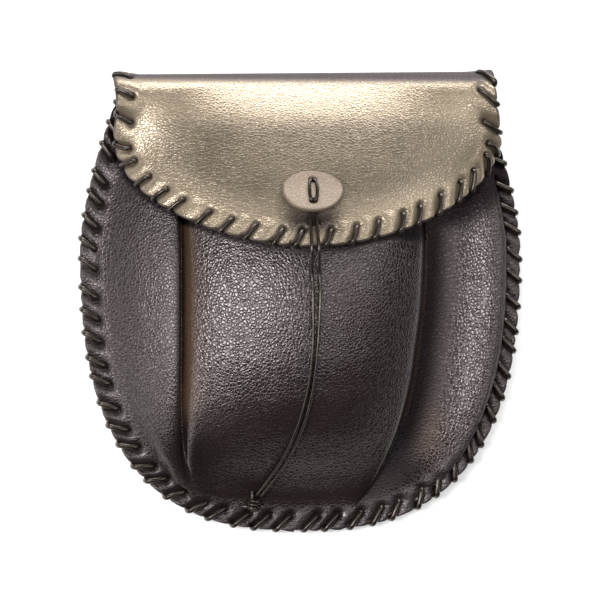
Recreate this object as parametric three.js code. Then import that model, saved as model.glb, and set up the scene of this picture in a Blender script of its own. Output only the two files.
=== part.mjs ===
// A laced leather sporran pouch that lies on its back.
// Millimetres. X is right, Y runs from the toe up to the fold, and Z is up, out of the pouch's front.
import * as THREE from "three";

// Leather, lace and cord stock
const LEATHER = 2;
const LACE = 2.2;
const CORD = 1.25;
const GAP = 0.3;

// Heights of the stack at the seam
const RIM_UNDERSIDE = 3;
const SHEET_RIM = RIM_UNDERSIDE + LEATHER / 2;
const FRONT_RIM = RIM_UNDERSIDE + 2 * LEATHER + GAP;

// Outline of the body, a half superellipse below and a gentle taper above
const BODY_HALF_WIDTH = 83.8;
const WIDEST_Y = 22;
const TOE_DEPTH = 107.3;
const TOE_POWER = 2.62;
const TOE_END = 4;
const TOP_TAPER = 14.4;
const TOP_TAPER_POWER = 1.2;
const MOUTH_Y = 75;

// The fold over the top
const FOLD_TOP_Y = 87.8;
const FOLD_RADIUS = 9;
const FOLD_Y = FOLD_TOP_Y - FOLD_RADIUS - LEATHER / 2;
const FOLD_Z = SHEET_RIM + FOLD_RADIUS;
const FOLD_HALF_WIDTH = 70.7;
const FOLD_END_MIDDLE = 55;
const FOLD_END_SIDE = 120;
const FOLD_END_POWER = 2.8;

// The flap's outline and drape
const FLAP_HALF_WIDTH = 73.6;
const FLAP_TURN_Y = 63.4;
const FLAP_DROP = 41.5;
const FLAP_POWER = 1.85;
const FLAP_TIP = 3;
const FLAP_EASE = 20;
const FLAP_END_SLOPE = 0.2;
const FLAP_SIDE_FALL = 0.5;
const FLAP_SIDE_POWER = 7;
const FLAP_LACE_GAP = 0.6;

// The flap hangs a little askew. Each row is how far its middle stands to the right at that Y.
const FLAP_SHIFT = [
  { y: 84, shift: 0.4 },
  { y: 67, shift: 2.8 },
  { y: 60, shift: 2.7 },
  { y: 53, shift: 1.6 },
  { y: 44, shift: 0.3 },
  { y: 33, shift: -0.9 },
  { y: 22, shift: -1.2 },
];

// The back is dished inwards behind its flat seam margin, which leaves room for the belt loop
const DISH = 4;
const DISH_START = 10;
const DISH_END = 35;

// Front panel. Heights are above the seam rim, and pleat columns are the valley's distance from the middle.
const SECTIONS = [
  { y: 75, belly: 13, crest: 8, valley: 5, leftPleat: 47, rightPleat: 48 },
  { y: 58, belly: 21.5, crest: 10.5, valley: 6, leftPleat: 47.2, rightPleat: 49 },
  { y: 35, belly: 29, crest: 15, valley: 7.2, leftPleat: 47, rightPleat: 49.5 },
  { y: 5, belly: 32.5, crest: 18, valley: 8, leftPleat: 47, rightPleat: 47.5 },
  { y: -18, belly: 31, crest: 17.5, valley: 7.8, leftPleat: 47, rightPleat: 44.8 },
  { y: -34, belly: 27.5, crest: 15.5, valley: 7.2, leftPleat: 47, rightPleat: 42.6 },
  { y: -47, belly: 21.5, crest: 12, valley: 6.2, leftPleat: 46.5, rightPleat: 40.5 },
  { y: -57, belly: 14.5, crest: 8, valley: 4.8, leftPleat: 45.5, rightPleat: 38 },
  { y: -66, belly: 7, crest: 4, valley: 2.8, leftPleat: 43, rightPleat: 35.8 },
  { y: -74, belly: 1.6, crest: 1, valley: 0.9, leftPleat: 40, rightPleat: 33 },
  { y: -80, belly: 0.1, crest: 0.1, valley: 0.1, leftPleat: 38, rightPleat: 31.5 },
  { y: -86, belly: 0, crest: 0, valley: 0, leftPleat: 36, rightPleat: 30 },
];

// Side wings. A crest stands a step outside its valley, at most at a share of the half width. Crest and valley are
// shares of the table's heights, and the turn is where the wing comes down to the seam margin.
const LEFT_WING = { step: 3.4, share: 0.78, crest: 1, valley: 1.25, turn: 10, turnShare: 0.16, turnRise: 0.2 };
const RIGHT_WING = { step: 22.5, share: 0.845, crest: 0.45, valley: 0.68, turn: 7.2, turnShare: 0.135, turnRise: 0.28 };
const SEAM_LINE = { inset: 5, share: 0.1, rise: 0.03 };
const WING_RISE = 0.7;
const SHOULDER = { step: 4.5, rise: 0.4 };
const QUARTER = { share: 0.56, rise: 0.865 };
const MITRE_LIMIT = 1.5;
const STEEP_LIMIT = 1.6;

// Toggle disc, tilted so that its lower edge stands off the flap
const DISC = { width: 23, height: 16.5, thick: 2.6, y: 42.3, tilt: 22 };
const DISC_HOLE = { offset: 4.3, halfLength: 1.5, radius: 1.05 };
const STRAND_SPACING = 1.4;

// Tie cord. Each row is where the two strands cross that Y.
const CORD_ROUTE = [
  { y: 35.2, left: -1.2, right: 1.2 },
  { y: 28, left: -1.1, right: 1.4 },
  { y: 20, left: -0.8, right: 1.9 },
  { y: 12, left: -0.3, right: 2.6 },
  { y: 2, left: 0.1, right: 2.8 },
  { y: -14, left: 0.2, right: 2.1 },
  { y: -29, left: -0.9, right: 0.9 },
  { y: -41, left: -3.2, right: -1.2 },
  { y: -49, left: -5.5, right: -3.5 },
  { y: -55, left: -7.7, right: -5.7 },
  { y: -61, left: -10.6, right: -8.6 },
  { y: -67, left: -14.2, right: -12.2 },
  { y: -72.9, left: -18.2, right: -16.2 },
];
const KNOT = { x: -18.9, y: -76, ring: 1.5, tube: 1, flatten: 0.8 };

// Belt loop, a strap with a raised middle between two sewn tabs
const LOOP = { width: 46, plate: 24, leg: 4, tab: 10, thick: 2 };

// Facets
const UPPER_ROWS = 6;
const TOE_ROWS = 15;
const SPLINE_STEPS = 3;
const SHEET_COLUMNS = 14;
const FOLD_ROWS = 10;
const FLAP_ROWS = 5;
const FLAP_TIP_ROWS = 10;
const LACE_SIDES = 8;
const LACE_STEP = 6;
const CORD_STEP = 3.7;
const DISC_STEPS = 10;
const KNOT_STEPS = 36;
const KNOT_SIDES = 6;

const MATERIALS = {
  dark: new THREE.MeshStandardMaterial({ color: 0x3a2d2b, roughness: 0.45, metalness: 0 }),
  bronze: new THREE.MeshStandardMaterial({ color: 0x6e6253, roughness: 0.5, metalness: 0 }),
  lace: new THREE.MeshStandardMaterial({ color: 0x211c1b, roughness: 0.6, metalness: 0 }),
};

// Half step of a slope's finite difference
const HALF_STEP = 0.5;

const radians = THREE.MathUtils.degToRad;
const lerp = THREE.MathUtils.lerp;

// Value of one column of a section table at y, as a monotone cubic through the rows.
function column(table, name, y) {
  const gradient = (i) => (table[i + 1][name] - table[i][name]) / (table[i + 1].y - table[i].y);
  const last = table.length - 1;
  const slope = (i) => {
    if (i === 0) return gradient(0);
    if (i === last) return gradient(last - 1);
    const product = gradient(i - 1) * gradient(i);
    return product <= 0 ? 0 : (2 * product) / (gradient(i - 1) + gradient(i));
  };
  const found = table.findIndex((row, i) => i < last && y >= table[i + 1].y);
  const i = found < 0 ? last - 1 : found;
  const span = table[i + 1].y - table[i].y;
  const t = THREE.MathUtils.clamp((y - table[i].y) / span, 0, 1);
  const rise = t * t * (3 - 2 * t);
  const leave = t * (1 - t) * (1 - t) * span * slope(i);
  const arrive = t * t * (t - 1) * span * slope(i + 1);
  return lerp(table[i][name], table[i + 1][name], rise) + leave + arrive;
}

function bodyHalfWidth(y) {
  if (y < WIDEST_Y) {
    const t = Math.min((WIDEST_Y - y) / TOE_DEPTH, 1);
    return BODY_HALF_WIDTH * (1 - t ** TOE_POWER) ** (1 / TOE_POWER);
  }
  const t = (y - WIDEST_Y) / (FOLD_TOP_Y - WIDEST_Y);
  return BODY_HALF_WIDTH - TOP_TAPER * t ** TOP_TAPER_POWER;
}

// Y of equal angle steps round a superellipse quarter, from its side down to where it is `end` wide.
function quarterRows(top, depth, halfWidth, power, end, count) {
  const lastAngle = Math.acos((end / halfWidth) ** (power / 2));
  return Array.from({ length: count + 1 }, (_, i) => {
    return top - depth * Math.sin((lastAngle * i) / count) ** (2 / power);
  });
}

function toeRows() {
  return quarterRows(WIDEST_Y, TOE_DEPTH, BODY_HALF_WIDTH, TOE_POWER, TOE_END, TOE_ROWS);
}

function evenRows(from, to, count) {
  return Array.from({ length: count + 1 }, (_, i) => lerp(from, to, i / count));
}

// One closed body between two grids of points, where `inner` faces the inside of the pouch.
function wallGeometry(outer, inner) {
  const rows = outer.length;
  const columns = outer[0].length;
  const layer = rows * columns;
  const at = (i, j) => i * columns + j;
  const triangles = [];
  const quad = (a, b, c, d) => triangles.push(a, b, c, a, c, d);
  for (let i = 0; i < rows - 1; i++) {
    for (let j = 0; j < columns - 1; j++) {
      const corners = [at(i, j), at(i, j + 1), at(i + 1, j + 1), at(i + 1, j)];
      quad(...corners.map((k) => k + layer));
      quad(...corners.reverse());
    }
  }
  const border = [];
  for (let j = 0; j < columns - 1; j++) border.push([at(0, j), at(0, j + 1)]);
  for (let i = 0; i < rows - 1; i++) border.push([at(i, columns - 1), at(i + 1, columns - 1)]);
  for (let j = columns - 1; j > 0; j--) border.push([at(rows - 1, j), at(rows - 1, j - 1)]);
  for (let i = rows - 1; i > 0; i--) border.push([at(i, 0), at(i - 1, 0)]);
  for (const [a, b] of border) quad(b + layer, a + layer, a, b);
  const geometry = new THREE.BufferGeometry().setFromPoints([...outer.flat(), ...inner.flat()]);
  geometry.setIndex(triangles);
  geometry.computeVertexNormals();
  return geometry;
}

// Unit normals of a grid, towards the inside of the pouch.
function gridNormals(grid) {
  const clamp = (list, k) => list[THREE.MathUtils.clamp(k, 0, list.length - 1)];
  return grid.map((row, i) =>
    row.map((_, j) => {
      const across = clamp(row, j + 1).clone().sub(clamp(row, j - 1));
      const along = clamp(grid, i + 1)[j].clone().sub(clamp(grid, i - 1)[j]);
      return across.cross(along).normalize();
    }),
  );
}

// Anchor points of the front panel's outer section at y, from the left edge to the right edge.
function frontAnchors(y) {
  const width = bodyHalfWidth(y);
  const belly = column(SECTIONS, "belly", y);
  const crest = column(SECTIONS, "crest", y);
  const valley = column(SECTIONS, "valley", y);
  const seam = width - Math.min(SEAM_LINE.inset, SEAM_LINE.share * width);
  const side = (pleat, wing) => {
    const top = wing.crest * crest;
    const low = wing.valley * valley;
    const turn = width - Math.min(wing.turn, wing.turnShare * width);
    const crestX = Math.min(pleat + wing.step, wing.share * width);
    const shrink = crestX / (pleat + wing.step);
    const valleyX = crestX - wing.step * shrink;
    const shoulderX = valleyX - SHOULDER.step * shrink;
    return [
      [width, 0],
      [seam, SEAM_LINE.rise * top],
      [turn, wing.turnRise * top],
      [(turn + crestX) / 2, WING_RISE * top],
      [crestX, top],
      [valleyX, low],
      [shoulderX, lerp(low, belly, SHOULDER.rise)],
      [shoulderX * QUARTER.share, QUARTER.rise * belly],
    ];
  };
  const leftPleat = column(SECTIONS, "leftPleat", y);
  const rightPleat = column(SECTIONS, "rightPleat", y);
  const left = side(leftPleat, LEFT_WING).map(([x, z]) => [-x, z]);
  const right = side(rightPleat, RIGHT_WING).reverse();
  return [...left, [0, belly], ...right].map(([x, z]) => new THREE.Vector2(x, FRONT_RIM + z));
}

// The same section moved inwards by the leather's thickness, more where the wall is steep along Y.
function insetAnchors(y) {
  const anchors = frontAnchors(y);
  const ahead = frontAnchors(y - HALF_STEP);
  const behind = frontAnchors(y + HALF_STEP);
  const direction = (a, b) => b.clone().sub(a).normalize();
  return anchors.map((point, i) => {
    const before = i > 0 ? direction(anchors[i - 1], point) : direction(point, anchors[1]);
    const after = i < anchors.length - 1 ? direction(point, anchors[i + 1]) : before;
    const normal = new THREE.Vector2(-before.y - after.y, before.x + after.x).normalize();
    const mitre = Math.min(1 / (normal.y * before.x - normal.x * before.y), MITRE_LIMIT);
    const steep = Math.min(Math.hypot(1, (ahead[i].y - behind[i].y) / (2 * HALF_STEP)), STEEP_LIMIT);
    return point.clone().addScaledVector(normal, -LEATHER * Math.min(mitre * steep, STEEP_LIMIT));
  });
}

function sectionRow(anchors, y) {
  const steps = (anchors.length - 1) * SPLINE_STEPS;
  const points = new THREE.SplineCurve(anchors).getPoints(steps);
  return points.map((point) => new THREE.Vector3(point.x, y, point.y));
}

function frontPanel() {
  const rows = [...evenRows(MOUTH_Y, WIDEST_Y, UPPER_ROWS), ...toeRows().slice(1)];
  const outer = rows.map((y) => sectionRow(frontAnchors(y), y));
  const inner = rows.map((y) => sectionRow(insetAnchors(y), y));
  return wallGeometry(outer, inner);
}

// Height of the front panel's outer face at a place on its middle.
function frontHeight(x, y) {
  const row = sectionRow(frontAnchors(y), y);
  const i = row.findIndex((point, k) => k + 1 < row.length && point.x <= x && row[k + 1].x >= x);
  return lerp(row[i].z, row[i + 1].z, (x - row[i].x) / (row[i + 1].x - row[i].x));
}

// Height of the back's middle surface: flat at the seam, dished inwards in the middle.
function backHeight(x, y) {
  const width = bodyHalfWidth(y);
  const down = Math.max(WIDEST_Y - y, 0) / TOE_DEPTH;
  const reach = ((Math.abs(x) / BODY_HALF_WIDTH) ** TOE_POWER + down ** TOE_POWER) ** (1 / TOE_POWER);
  const inset = y < WIDEST_Y ? (1 - reach) * BODY_HALF_WIDTH : width - Math.abs(x);
  const room = Math.min(inset, FOLD_Y - y);
  return SHEET_RIM + DISH * THREE.MathUtils.smoothstep(room, DISH_START, DISH_END);
}

// Height of the flap's middle surface, which leaves the fold's circle later at the sides than in the middle.
function flapHeight(x, y) {
  const side = Math.min(Math.abs(x - flapShift(y)) / FLAP_HALF_WIDTH, 1);
  const angle = radians(lerp(FOLD_END_MIDDLE, FOLD_END_SIDE, side ** FOLD_END_POWER));
  const leaveY = FOLD_Y + FOLD_RADIUS * Math.cos(angle);
  if (y > leaveY) return FOLD_Z + Math.sqrt(Math.max(FOLD_RADIUS ** 2 - (y - FOLD_Y) ** 2, 0));
  const start = 1 / Math.tan(angle);
  const end = FLAP_END_SLOPE - FLAP_SIDE_FALL * side ** FLAP_SIDE_POWER;
  const run = leaveY - y;
  const eased = (start - end) * FLAP_EASE * (1 - Math.exp(-run / FLAP_EASE));
  return FOLD_Z + FOLD_RADIUS * Math.sin(angle) + end * run + eased;
}

function flapShift(y) {
  return column(FLAP_SHIFT, "shift", y);
}

function flapHalfWidth(y) {
  if (y > FLAP_TURN_Y) {
    return lerp(FLAP_HALF_WIDTH, FOLD_HALF_WIDTH, (y - FLAP_TURN_Y) / (FOLD_Y - FLAP_TURN_Y));
  }
  const t = Math.min((FLAP_TURN_Y - y) / FLAP_DROP, 1);
  return FLAP_HALF_WIDTH * (1 - t ** FLAP_POWER) ** (1 / FLAP_POWER);
}

// Middle surface of the one sheet that is back, fold and flap, row by row from the toe to the flap's tip.
function sheetGrid() {
  const acrossRow = (middle, halfWidth, place) =>
    evenRows(middle - halfWidth, middle + halfWidth, SHEET_COLUMNS).map((x) => new THREE.Vector3(x, ...place(x)));
  const back = [...toeRows().reverse(), ...evenRows(WIDEST_Y, FOLD_Y, UPPER_ROWS).slice(1)].map((y) =>
    acrossRow(0, bodyHalfWidth(y), (x) => [y, backHeight(x, y)]),
  );
  const foldStart = bodyHalfWidth(FOLD_Y);
  const fold = evenRows(-90, FOLD_END_MIDDLE, FOLD_ROWS).slice(1).map((degrees) => {
    const y = FOLD_Y + FOLD_RADIUS * Math.cos(radians(degrees));
    const z = FOLD_Z + FOLD_RADIUS * Math.sin(radians(degrees));
    const halfWidth = lerp(foldStart, FOLD_HALF_WIDTH, THREE.MathUtils.smoothstep(degrees, -90, 0));
    const lean = FLAP_SHIFT[0].shift * THREE.MathUtils.smoothstep(degrees, 0, FOLD_END_MIDDLE);
    return acrossRow(lean, halfWidth, () => [y, z]);
  });
  const flapStart = FOLD_Y + FOLD_RADIUS * Math.cos(radians(FOLD_END_MIDDLE));
  const tip = quarterRows(FLAP_TURN_Y, FLAP_DROP, FLAP_HALF_WIDTH, FLAP_POWER, FLAP_TIP, FLAP_TIP_ROWS);
  const flap = [...evenRows(flapStart, FLAP_TURN_Y, FLAP_ROWS), ...tip.slice(1)].slice(1).map((y) =>
    acrossRow(flapShift(y), Math.min(flapHalfWidth(y), FLAP_HALF_WIDTH), (x) => [y, flapHeight(x, y)]),
  );
  return { grid: [...back, ...fold, ...flap], firstFoldRow: back.length };
}

function backAndFlap() {
  const { grid } = sheetGrid();
  const normals = gridNormals(grid);
  const moved = (distance) =>
    grid.map((row, i) => row.map((point, j) => point.clone().addScaledVector(normals[i][j], distance)));
  return wallGeometry(moved(-LEATHER / 2), moved(LEATHER / 2));
}

// A round tube of few sides along a smooth curve through the points.
function tube(points, diameter, step) {
  const corners = Array.from({ length: LACE_SIDES }, (_, i) => {
    const angle = (2 * Math.PI * (i + 0.5)) / LACE_SIDES;
    return new THREE.Vector2(Math.cos(angle), Math.sin(angle)).multiplyScalar(diameter / 2);
  });
  const path = new THREE.CatmullRomCurve3(points, false, "centripetal");
  const steps = Math.max(2, Math.round(path.getLength() / step));
  return new THREE.ExtrudeGeometry(new THREE.Shape(corners), { steps, extrudePath: path, bevelEnabled: false });
}

// Points of an edge moved outwards in its sheet's plane, so that a lace lies beside the edge.
function besideEdge(points, normals, gap) {
  return points.map((point, i) => {
    const next = points[Math.min(i + 1, points.length - 1)];
    const last = points[Math.max(i - 1, 0)];
    const outward = normals[i].clone().cross(next.clone().sub(last)).normalize();
    return point.clone().addScaledVector(outward, LACE / 2 + gap);
  });
}

function bodyLacing() {
  const rows = [...evenRows(MOUTH_Y, WIDEST_Y, UPPER_ROWS), ...toeRows().slice(1)];
  const seamZ = RIM_UNDERSIDE + LEATHER + GAP / 2;
  const left = rows.map((y) => new THREE.Vector3(-bodyHalfWidth(y), y, seamZ));
  const right = rows.map((y) => new THREE.Vector3(bodyHalfWidth(y), y, seamZ)).reverse();
  const edge = [...left, new THREE.Vector3(0, WIDEST_Y - TOE_DEPTH, seamZ), ...right];
  const inwards = edge.map(() => new THREE.Vector3(0, 0, -1));
  return tube(besideEdge(edge, inwards, GAP), LACE, LACE_STEP);
}

function flapLacing() {
  const { grid, firstFoldRow } = sheetGrid();
  const normals = gridNormals(grid);
  const edgeOf = (rows) => {
    const used = rows.slice(firstFoldRow);
    return [...used.map((row) => row[0]), ...used.map((row) => row.at(-1)).reverse()];
  };
  return tube(besideEdge(edgeOf(grid), edgeOf(normals), FLAP_LACE_GAP), LACE, LACE_STEP);
}

// Outer face of the flap above a place, taking its slope along Y into account.
function flapTop(x, y) {
  const slope = (flapHeight(x, y - HALF_STEP) - flapHeight(x, y + HALF_STEP)) / (2 * HALF_STEP);
  return flapHeight(x, y) + (LEATHER / 2) * Math.hypot(1, slope);
}

function discShape() {
  const shape = new THREE.Shape();
  shape.absellipse(0, 0, DISC.width / 2, DISC.height / 2, 0, 2 * Math.PI, false, 0);
  for (const y of [-DISC_HOLE.offset, DISC_HOLE.offset]) {
    const hole = new THREE.Path();
    hole.absarc(DISC_HOLE.halfLength, y, DISC_HOLE.radius, -Math.PI / 2, Math.PI / 2, false);
    hole.absarc(-DISC_HOLE.halfLength, y, DISC_HOLE.radius, Math.PI / 2, (3 * Math.PI) / 2, false);
    hole.closePath();
    shape.holes.push(hole);
  }
  return shape;
}

// Height of the disc's middle, with the back of its upper edge just clear of the flap.
function discHeight() {
  const tilt = radians(DISC.tilt);
  const upperEdge = (DISC.height / 2) * Math.sin(tilt) + (DISC.thick / 2) * Math.cos(tilt);
  return flapTop(0, DISC.y + (DISC.height / 2) * Math.cos(tilt)) + upperEdge + GAP;
}

function discGeometry() {
  const geometry = new THREE.ExtrudeGeometry(discShape(), {
    depth: DISC.thick,
    bevelEnabled: false,
    curveSegments: DISC_STEPS,
  });
  return geometry.translate(0, 0, -DISC.thick / 2);
}

// A strand over the disc's face, with a leg down through each hole that stops just above the flap.
function discStrand(x) {
  const face = DISC.thick / 2 + GAP + CORD / 2;
  const tilt = radians(DISC.tilt);
  const legEnd = (v) => {
    const place = DISC.y + v * Math.cos(tilt);
    return (flapTop(0, place) + GAP + CORD / 4 - discHeight() + v * Math.sin(tilt)) / Math.cos(tilt);
  };
  const leg = DISC_HOLE.offset;
  const bend = 0.8;
  return tube(
    [
      new THREE.Vector3(x, -leg, legEnd(-leg)),
      new THREE.Vector3(x, -leg, 0),
      new THREE.Vector3(x, -leg, face - bend),
      new THREE.Vector3(x, -leg + bend, face),
      new THREE.Vector3(x, leg - bend, face),
      new THREE.Vector3(x, leg, face - bend),
      new THREE.Vector3(x, leg, 0),
      new THREE.Vector3(x, leg, legEnd(leg)),
    ],
    CORD,
    CORD,
  );
}

// A strand of the tie cord, lying on the flap and then on the belly.
function tieCord(strand) {
  const clear = 2 * GAP + CORD / 2;
  const overFlap = (y) => y > FLAP_TURN_Y - FLAP_DROP - LACE;
  const restOn = (x, y) => (overFlap(y) ? flapTop(x, y) : frontHeight(x, y));
  const points = CORD_ROUTE.map((row) => {
    const x = row[strand];
    const slope = (restOn(x, row.y - HALF_STEP) - restOn(x, row.y + HALF_STEP)) / (2 * HALF_STEP);
    const steep = overFlap(row.y) ? 1 : Math.hypot(1, slope);
    return new THREE.Vector3(x, row.y, restOn(x, row.y) + clear * steep);
  });
  return tube(points, CORD, CORD_STEP);
}

function tieKnot() {
  const geometry = new THREE.TorusKnotGeometry(KNOT.ring, KNOT.tube / 2, KNOT_STEPS, KNOT_SIDES);
  geometry.scale(1, 1, KNOT.flatten);
  return geometry;
}

// Side profile of the belt loop: a raised plate at the bottom, a leg and a tab at each end.
function beltLoop() {
  const tabTop = RIM_UNDERSIDE + DISH - GAP;
  const half = [
    [LOOP.plate, 0],
    [LOOP.plate + LOOP.leg, tabTop - LOOP.thick],
    [LOOP.plate + LOOP.leg + LOOP.tab, tabTop - LOOP.thick],
    [LOOP.plate + LOOP.leg + LOOP.tab, tabTop],
    [LOOP.plate + LOOP.leg - LOOP.thick / 2, tabTop],
    [LOOP.plate - LOOP.thick / 2, LOOP.thick],
  ];
  const mirrored = half.map(([y, z]) => [-y, z]).reverse();
  const profile = new THREE.Shape([...half, ...mirrored].map(([y, z]) => new THREE.Vector2(y, z)));
  const geometry = new THREE.ExtrudeGeometry(profile, { depth: LOOP.width, bevelEnabled: false });
  geometry.translate(0, 0, -LOOP.width / 2);
  // The profile's plane becomes YZ, and its depth runs along X.
  const turn = new THREE.Matrix4().makeBasis(
    new THREE.Vector3(0, 1, 0),
    new THREE.Vector3(0, 0, 1),
    new THREE.Vector3(1, 0, 0),
  );
  return geometry.applyMatrix4(turn);
}

function named(name, geometry, material) {
  const mesh = new THREE.Mesh(geometry, material);
  mesh.name = name;
  return mesh;
}

const pouch = new THREE.Group();
pouch.add(named("back_and_flap", backAndFlap(), MATERIALS.bronze));
pouch.add(named("front_panel", frontPanel(), MATERIALS.dark));
pouch.add(named("body_lacing", bodyLacing(), MATERIALS.lace));
pouch.add(named("flap_lacing", flapLacing(), MATERIALS.lace));

const toggle = new THREE.Group();
toggle.position.set(0, DISC.y, discHeight());
toggle.rotation.x = -radians(DISC.tilt);
toggle.add(named("toggle_disc", discGeometry(), MATERIALS.bronze));
toggle.add(named("toggle_stitch_left", discStrand(-STRAND_SPACING), MATERIALS.lace));
toggle.add(named("toggle_stitch_right", discStrand(STRAND_SPACING), MATERIALS.lace));
pouch.add(toggle);

pouch.add(named("tie_cord_left", tieCord("left"), MATERIALS.lace));
pouch.add(named("tie_cord_right", tieCord("right"), MATERIALS.lace));
const knot = named("tie_knot", tieKnot(), MATERIALS.lace);
knot.position.set(KNOT.x, KNOT.y, frontHeight(KNOT.x, KNOT.y) + GAP + KNOT.ring);
pouch.add(knot);

pouch.add(named("belt_loop", beltLoop(), MATERIALS.dark));

export default pouch;
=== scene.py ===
"""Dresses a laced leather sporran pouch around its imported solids.

Every surface is a numpy grid in the pouch's own frame, in metres: X right, Y from the toe to the fold, Z up.
"""

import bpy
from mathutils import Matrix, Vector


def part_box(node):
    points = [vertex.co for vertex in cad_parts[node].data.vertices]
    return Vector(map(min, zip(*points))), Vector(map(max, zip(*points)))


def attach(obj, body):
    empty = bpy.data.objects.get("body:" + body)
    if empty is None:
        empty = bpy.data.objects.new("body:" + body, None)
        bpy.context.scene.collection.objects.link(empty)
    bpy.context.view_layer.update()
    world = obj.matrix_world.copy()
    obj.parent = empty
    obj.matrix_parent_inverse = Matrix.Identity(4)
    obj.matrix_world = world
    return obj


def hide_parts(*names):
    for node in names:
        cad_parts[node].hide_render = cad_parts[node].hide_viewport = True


bl_info = {
    "name": "Laced Sporran Pouch",
    "version": (1, 0, 0),
    "blender": (4, 5, 0),
    "location": "View3D > Sidebar > Pouch",
    "description": "Builds the leather, lacing, toggle and tie cord of a sporran pouch",
    "category": "Object",
}

import bpy
import numpy as np
from bpy.props import FloatProperty, FloatVectorProperty, IntProperty, PointerProperty
from mathutils import Matrix, Vector

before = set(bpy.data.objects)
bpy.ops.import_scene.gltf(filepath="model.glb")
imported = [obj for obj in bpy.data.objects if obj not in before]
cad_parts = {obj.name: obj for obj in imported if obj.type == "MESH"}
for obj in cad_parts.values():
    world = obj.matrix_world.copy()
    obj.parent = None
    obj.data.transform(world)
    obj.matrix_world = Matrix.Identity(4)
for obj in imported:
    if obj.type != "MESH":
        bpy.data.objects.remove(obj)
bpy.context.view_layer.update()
LOOP_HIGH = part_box("belt_loop")[1]

MM = 0.001
BODY = "root"

# Stack at the seam
LEATHER = 2 * MM
SEAM_GAP = 0.3 * MM
RIM_UNDERSIDE = 3 * MM
SHEET_RIM = RIM_UNDERSIDE + LEATHER / 2
FRONT_RIM = RIM_UNDERSIDE + 2 * LEATHER + SEAM_GAP

# Outline of the body
BODY_HALF_WIDTH = 83.8 * MM
WIDEST_Y = 22 * MM
TOE_DEPTH = 107.3 * MM
TOE_POWER = 2.62
TOE_END = 4 * MM
TOP_TAPER = 17.5 * MM
TOP_TAPER_POWER = 1.5
MOUTH_Y = 75 * MM

# Fold and flap
FOLD_TOP_Y = 87.8 * MM
FOLD_RADIUS = 9 * MM
FOLD_Y = FOLD_TOP_Y - FOLD_RADIUS - LEATHER / 2
FOLD_Z = SHEET_RIM + FOLD_RADIUS
FOLD_HALF_WIDTH = 71.9 * MM
FOLD_SKEW = 0.014
FOLD_END_MIDDLE = 55.0
FOLD_END_SIDE = 120.0
FOLD_END_POWER = 2.8
FLAP_HALF_WIDTH = 73.2 * MM
FLAP_TURN_Y = 63.4 * MM
FLAP_DROP = 41.5 * MM
FLAP_POWER = 1.85
FLAP_TIP = 3 * MM
FLAP_EASE = 20 * MM
FLAP_END_SLOPE = 0.2
FLAP_SIDE_FALL = 0.5
FLAP_SIDE_POWER = 7

# The flap hangs a little askew, a row for each Y where its middle stands off the pouch's
FLAP_SHIFT = np.array(
    [(84, 0.0), (67, 1.2), (60, 1.6), (53, 1.2), (44, 0.2), (33, -0.9), (22, -1.2)],
    dtype=[(name, float) for name in ("y", "shift")],
)

# Dish of the back
DISH = 4 * MM
DISH_START = 10 * MM
DISH_END = 35 * MM

# Front panel, a row for each section. Heights are above the seam rim, pleats are the valleys' X.
SECTIONS = np.array(
    [
        (75, 13, 8, 5, 47, 48),
        (58, 21.5, 10.5, 6, 47.2, 49),
        (35, 29, 15, 7.2, 47, 49.5),
        (5, 32.5, 18, 8, 47, 47.5),
        (-18, 31, 17.5, 7.8, 47, 44.8),
        (-34, 27.5, 15.5, 7.2, 47, 42.6),
        (-47, 21.5, 12, 6.2, 46.5, 40.5),
        (-57, 14.5, 8, 4.8, 45.5, 38),
        (-66, 7, 4, 2.8, 43, 35.8),
        (-74, 1.6, 1, 0.9, 40, 33),
        (-80, 0.1, 0.1, 0.1, 38, 31.5),
        (-86, 0, 0, 0, 36, 30),
    ],
    dtype=[(name, float) for name in ("y", "belly", "crest", "valley", "left_pleat", "right_pleat")],
)
# Wings: the crest's step from the valley, its most share of the width, and shares of the table's heights
WING_COLUMNS = ("step", "share", "crest", "valley", "turn", "turn_share", "turn_rise")
LEFT_WING = dict(zip(WING_COLUMNS, (2.2 * MM, 0.78, 1.0, 1.45, 10 * MM, 0.16, 0.2)))
RIGHT_WING = dict(zip(WING_COLUMNS, (26 * MM, 0.875, 0.45, 0.76, 6 * MM, 0.115, 0.4)))
SEAM_LINE_INSET = 5 * MM
SEAM_LINE_SHARE = 0.1
SEAM_LINE_RISE = 0.03
WING_RISE = 0.7
SHOULDER_STEP = 4.5 * MM
SHOULDER_RISE = 0.4
QUARTER_SHARE = 0.56
QUARTER_RISE = 0.865
MITRE_LIMIT = 1.5
STEEP_LIMIT = 1.6

# Toggle disc
DISC_WIDTH = 23 * MM
DISC_HEIGHT = 16.5 * MM
DISC_THICK = 2.6 * MM
DISC_Y = 42.3 * MM
DISC_TILT = np.radians(22)
DISC_HOLE = 4.3 * MM
DISC_ROUND = 0.9 * MM
DISC_BROWN_Y = (-1 * MM, 6 * MM)
PIT_HALF_LENGTH = 0.5 * MM
PIT_WIDTH = 1.0 * MM
PIT_DEPTH = 0.75
STRAND_SPACING = 1.4 * MM

# Tie cord, a row for each place where the two strands cross that Y
CORD_ROUTE = np.array(
    [
        (35.2, -1.2, 1.2),
        (28, -1.1, 1.4),
        (20, -0.8, 1.9),
        (12, -0.3, 2.6),
        (2, 0.1, 2.8),
        (-14, 0.2, 2.1),
        (-29, -0.9, 0.9),
        (-41, -3.2, -1.2),
        (-49, -5.5, -3.5),
        (-55, -7.7, -5.7),
        (-61, -10.6, -8.6),
        (-67, -14.2, -12.2),
        (-72.9, -18.2, -16.2),
    ],
    dtype=[(name, float) for name in ("y", "left", "right")],
)
CORD_LIFT = 0.6 * MM
CORD_PAST_FLAP = 2 * MM
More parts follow.
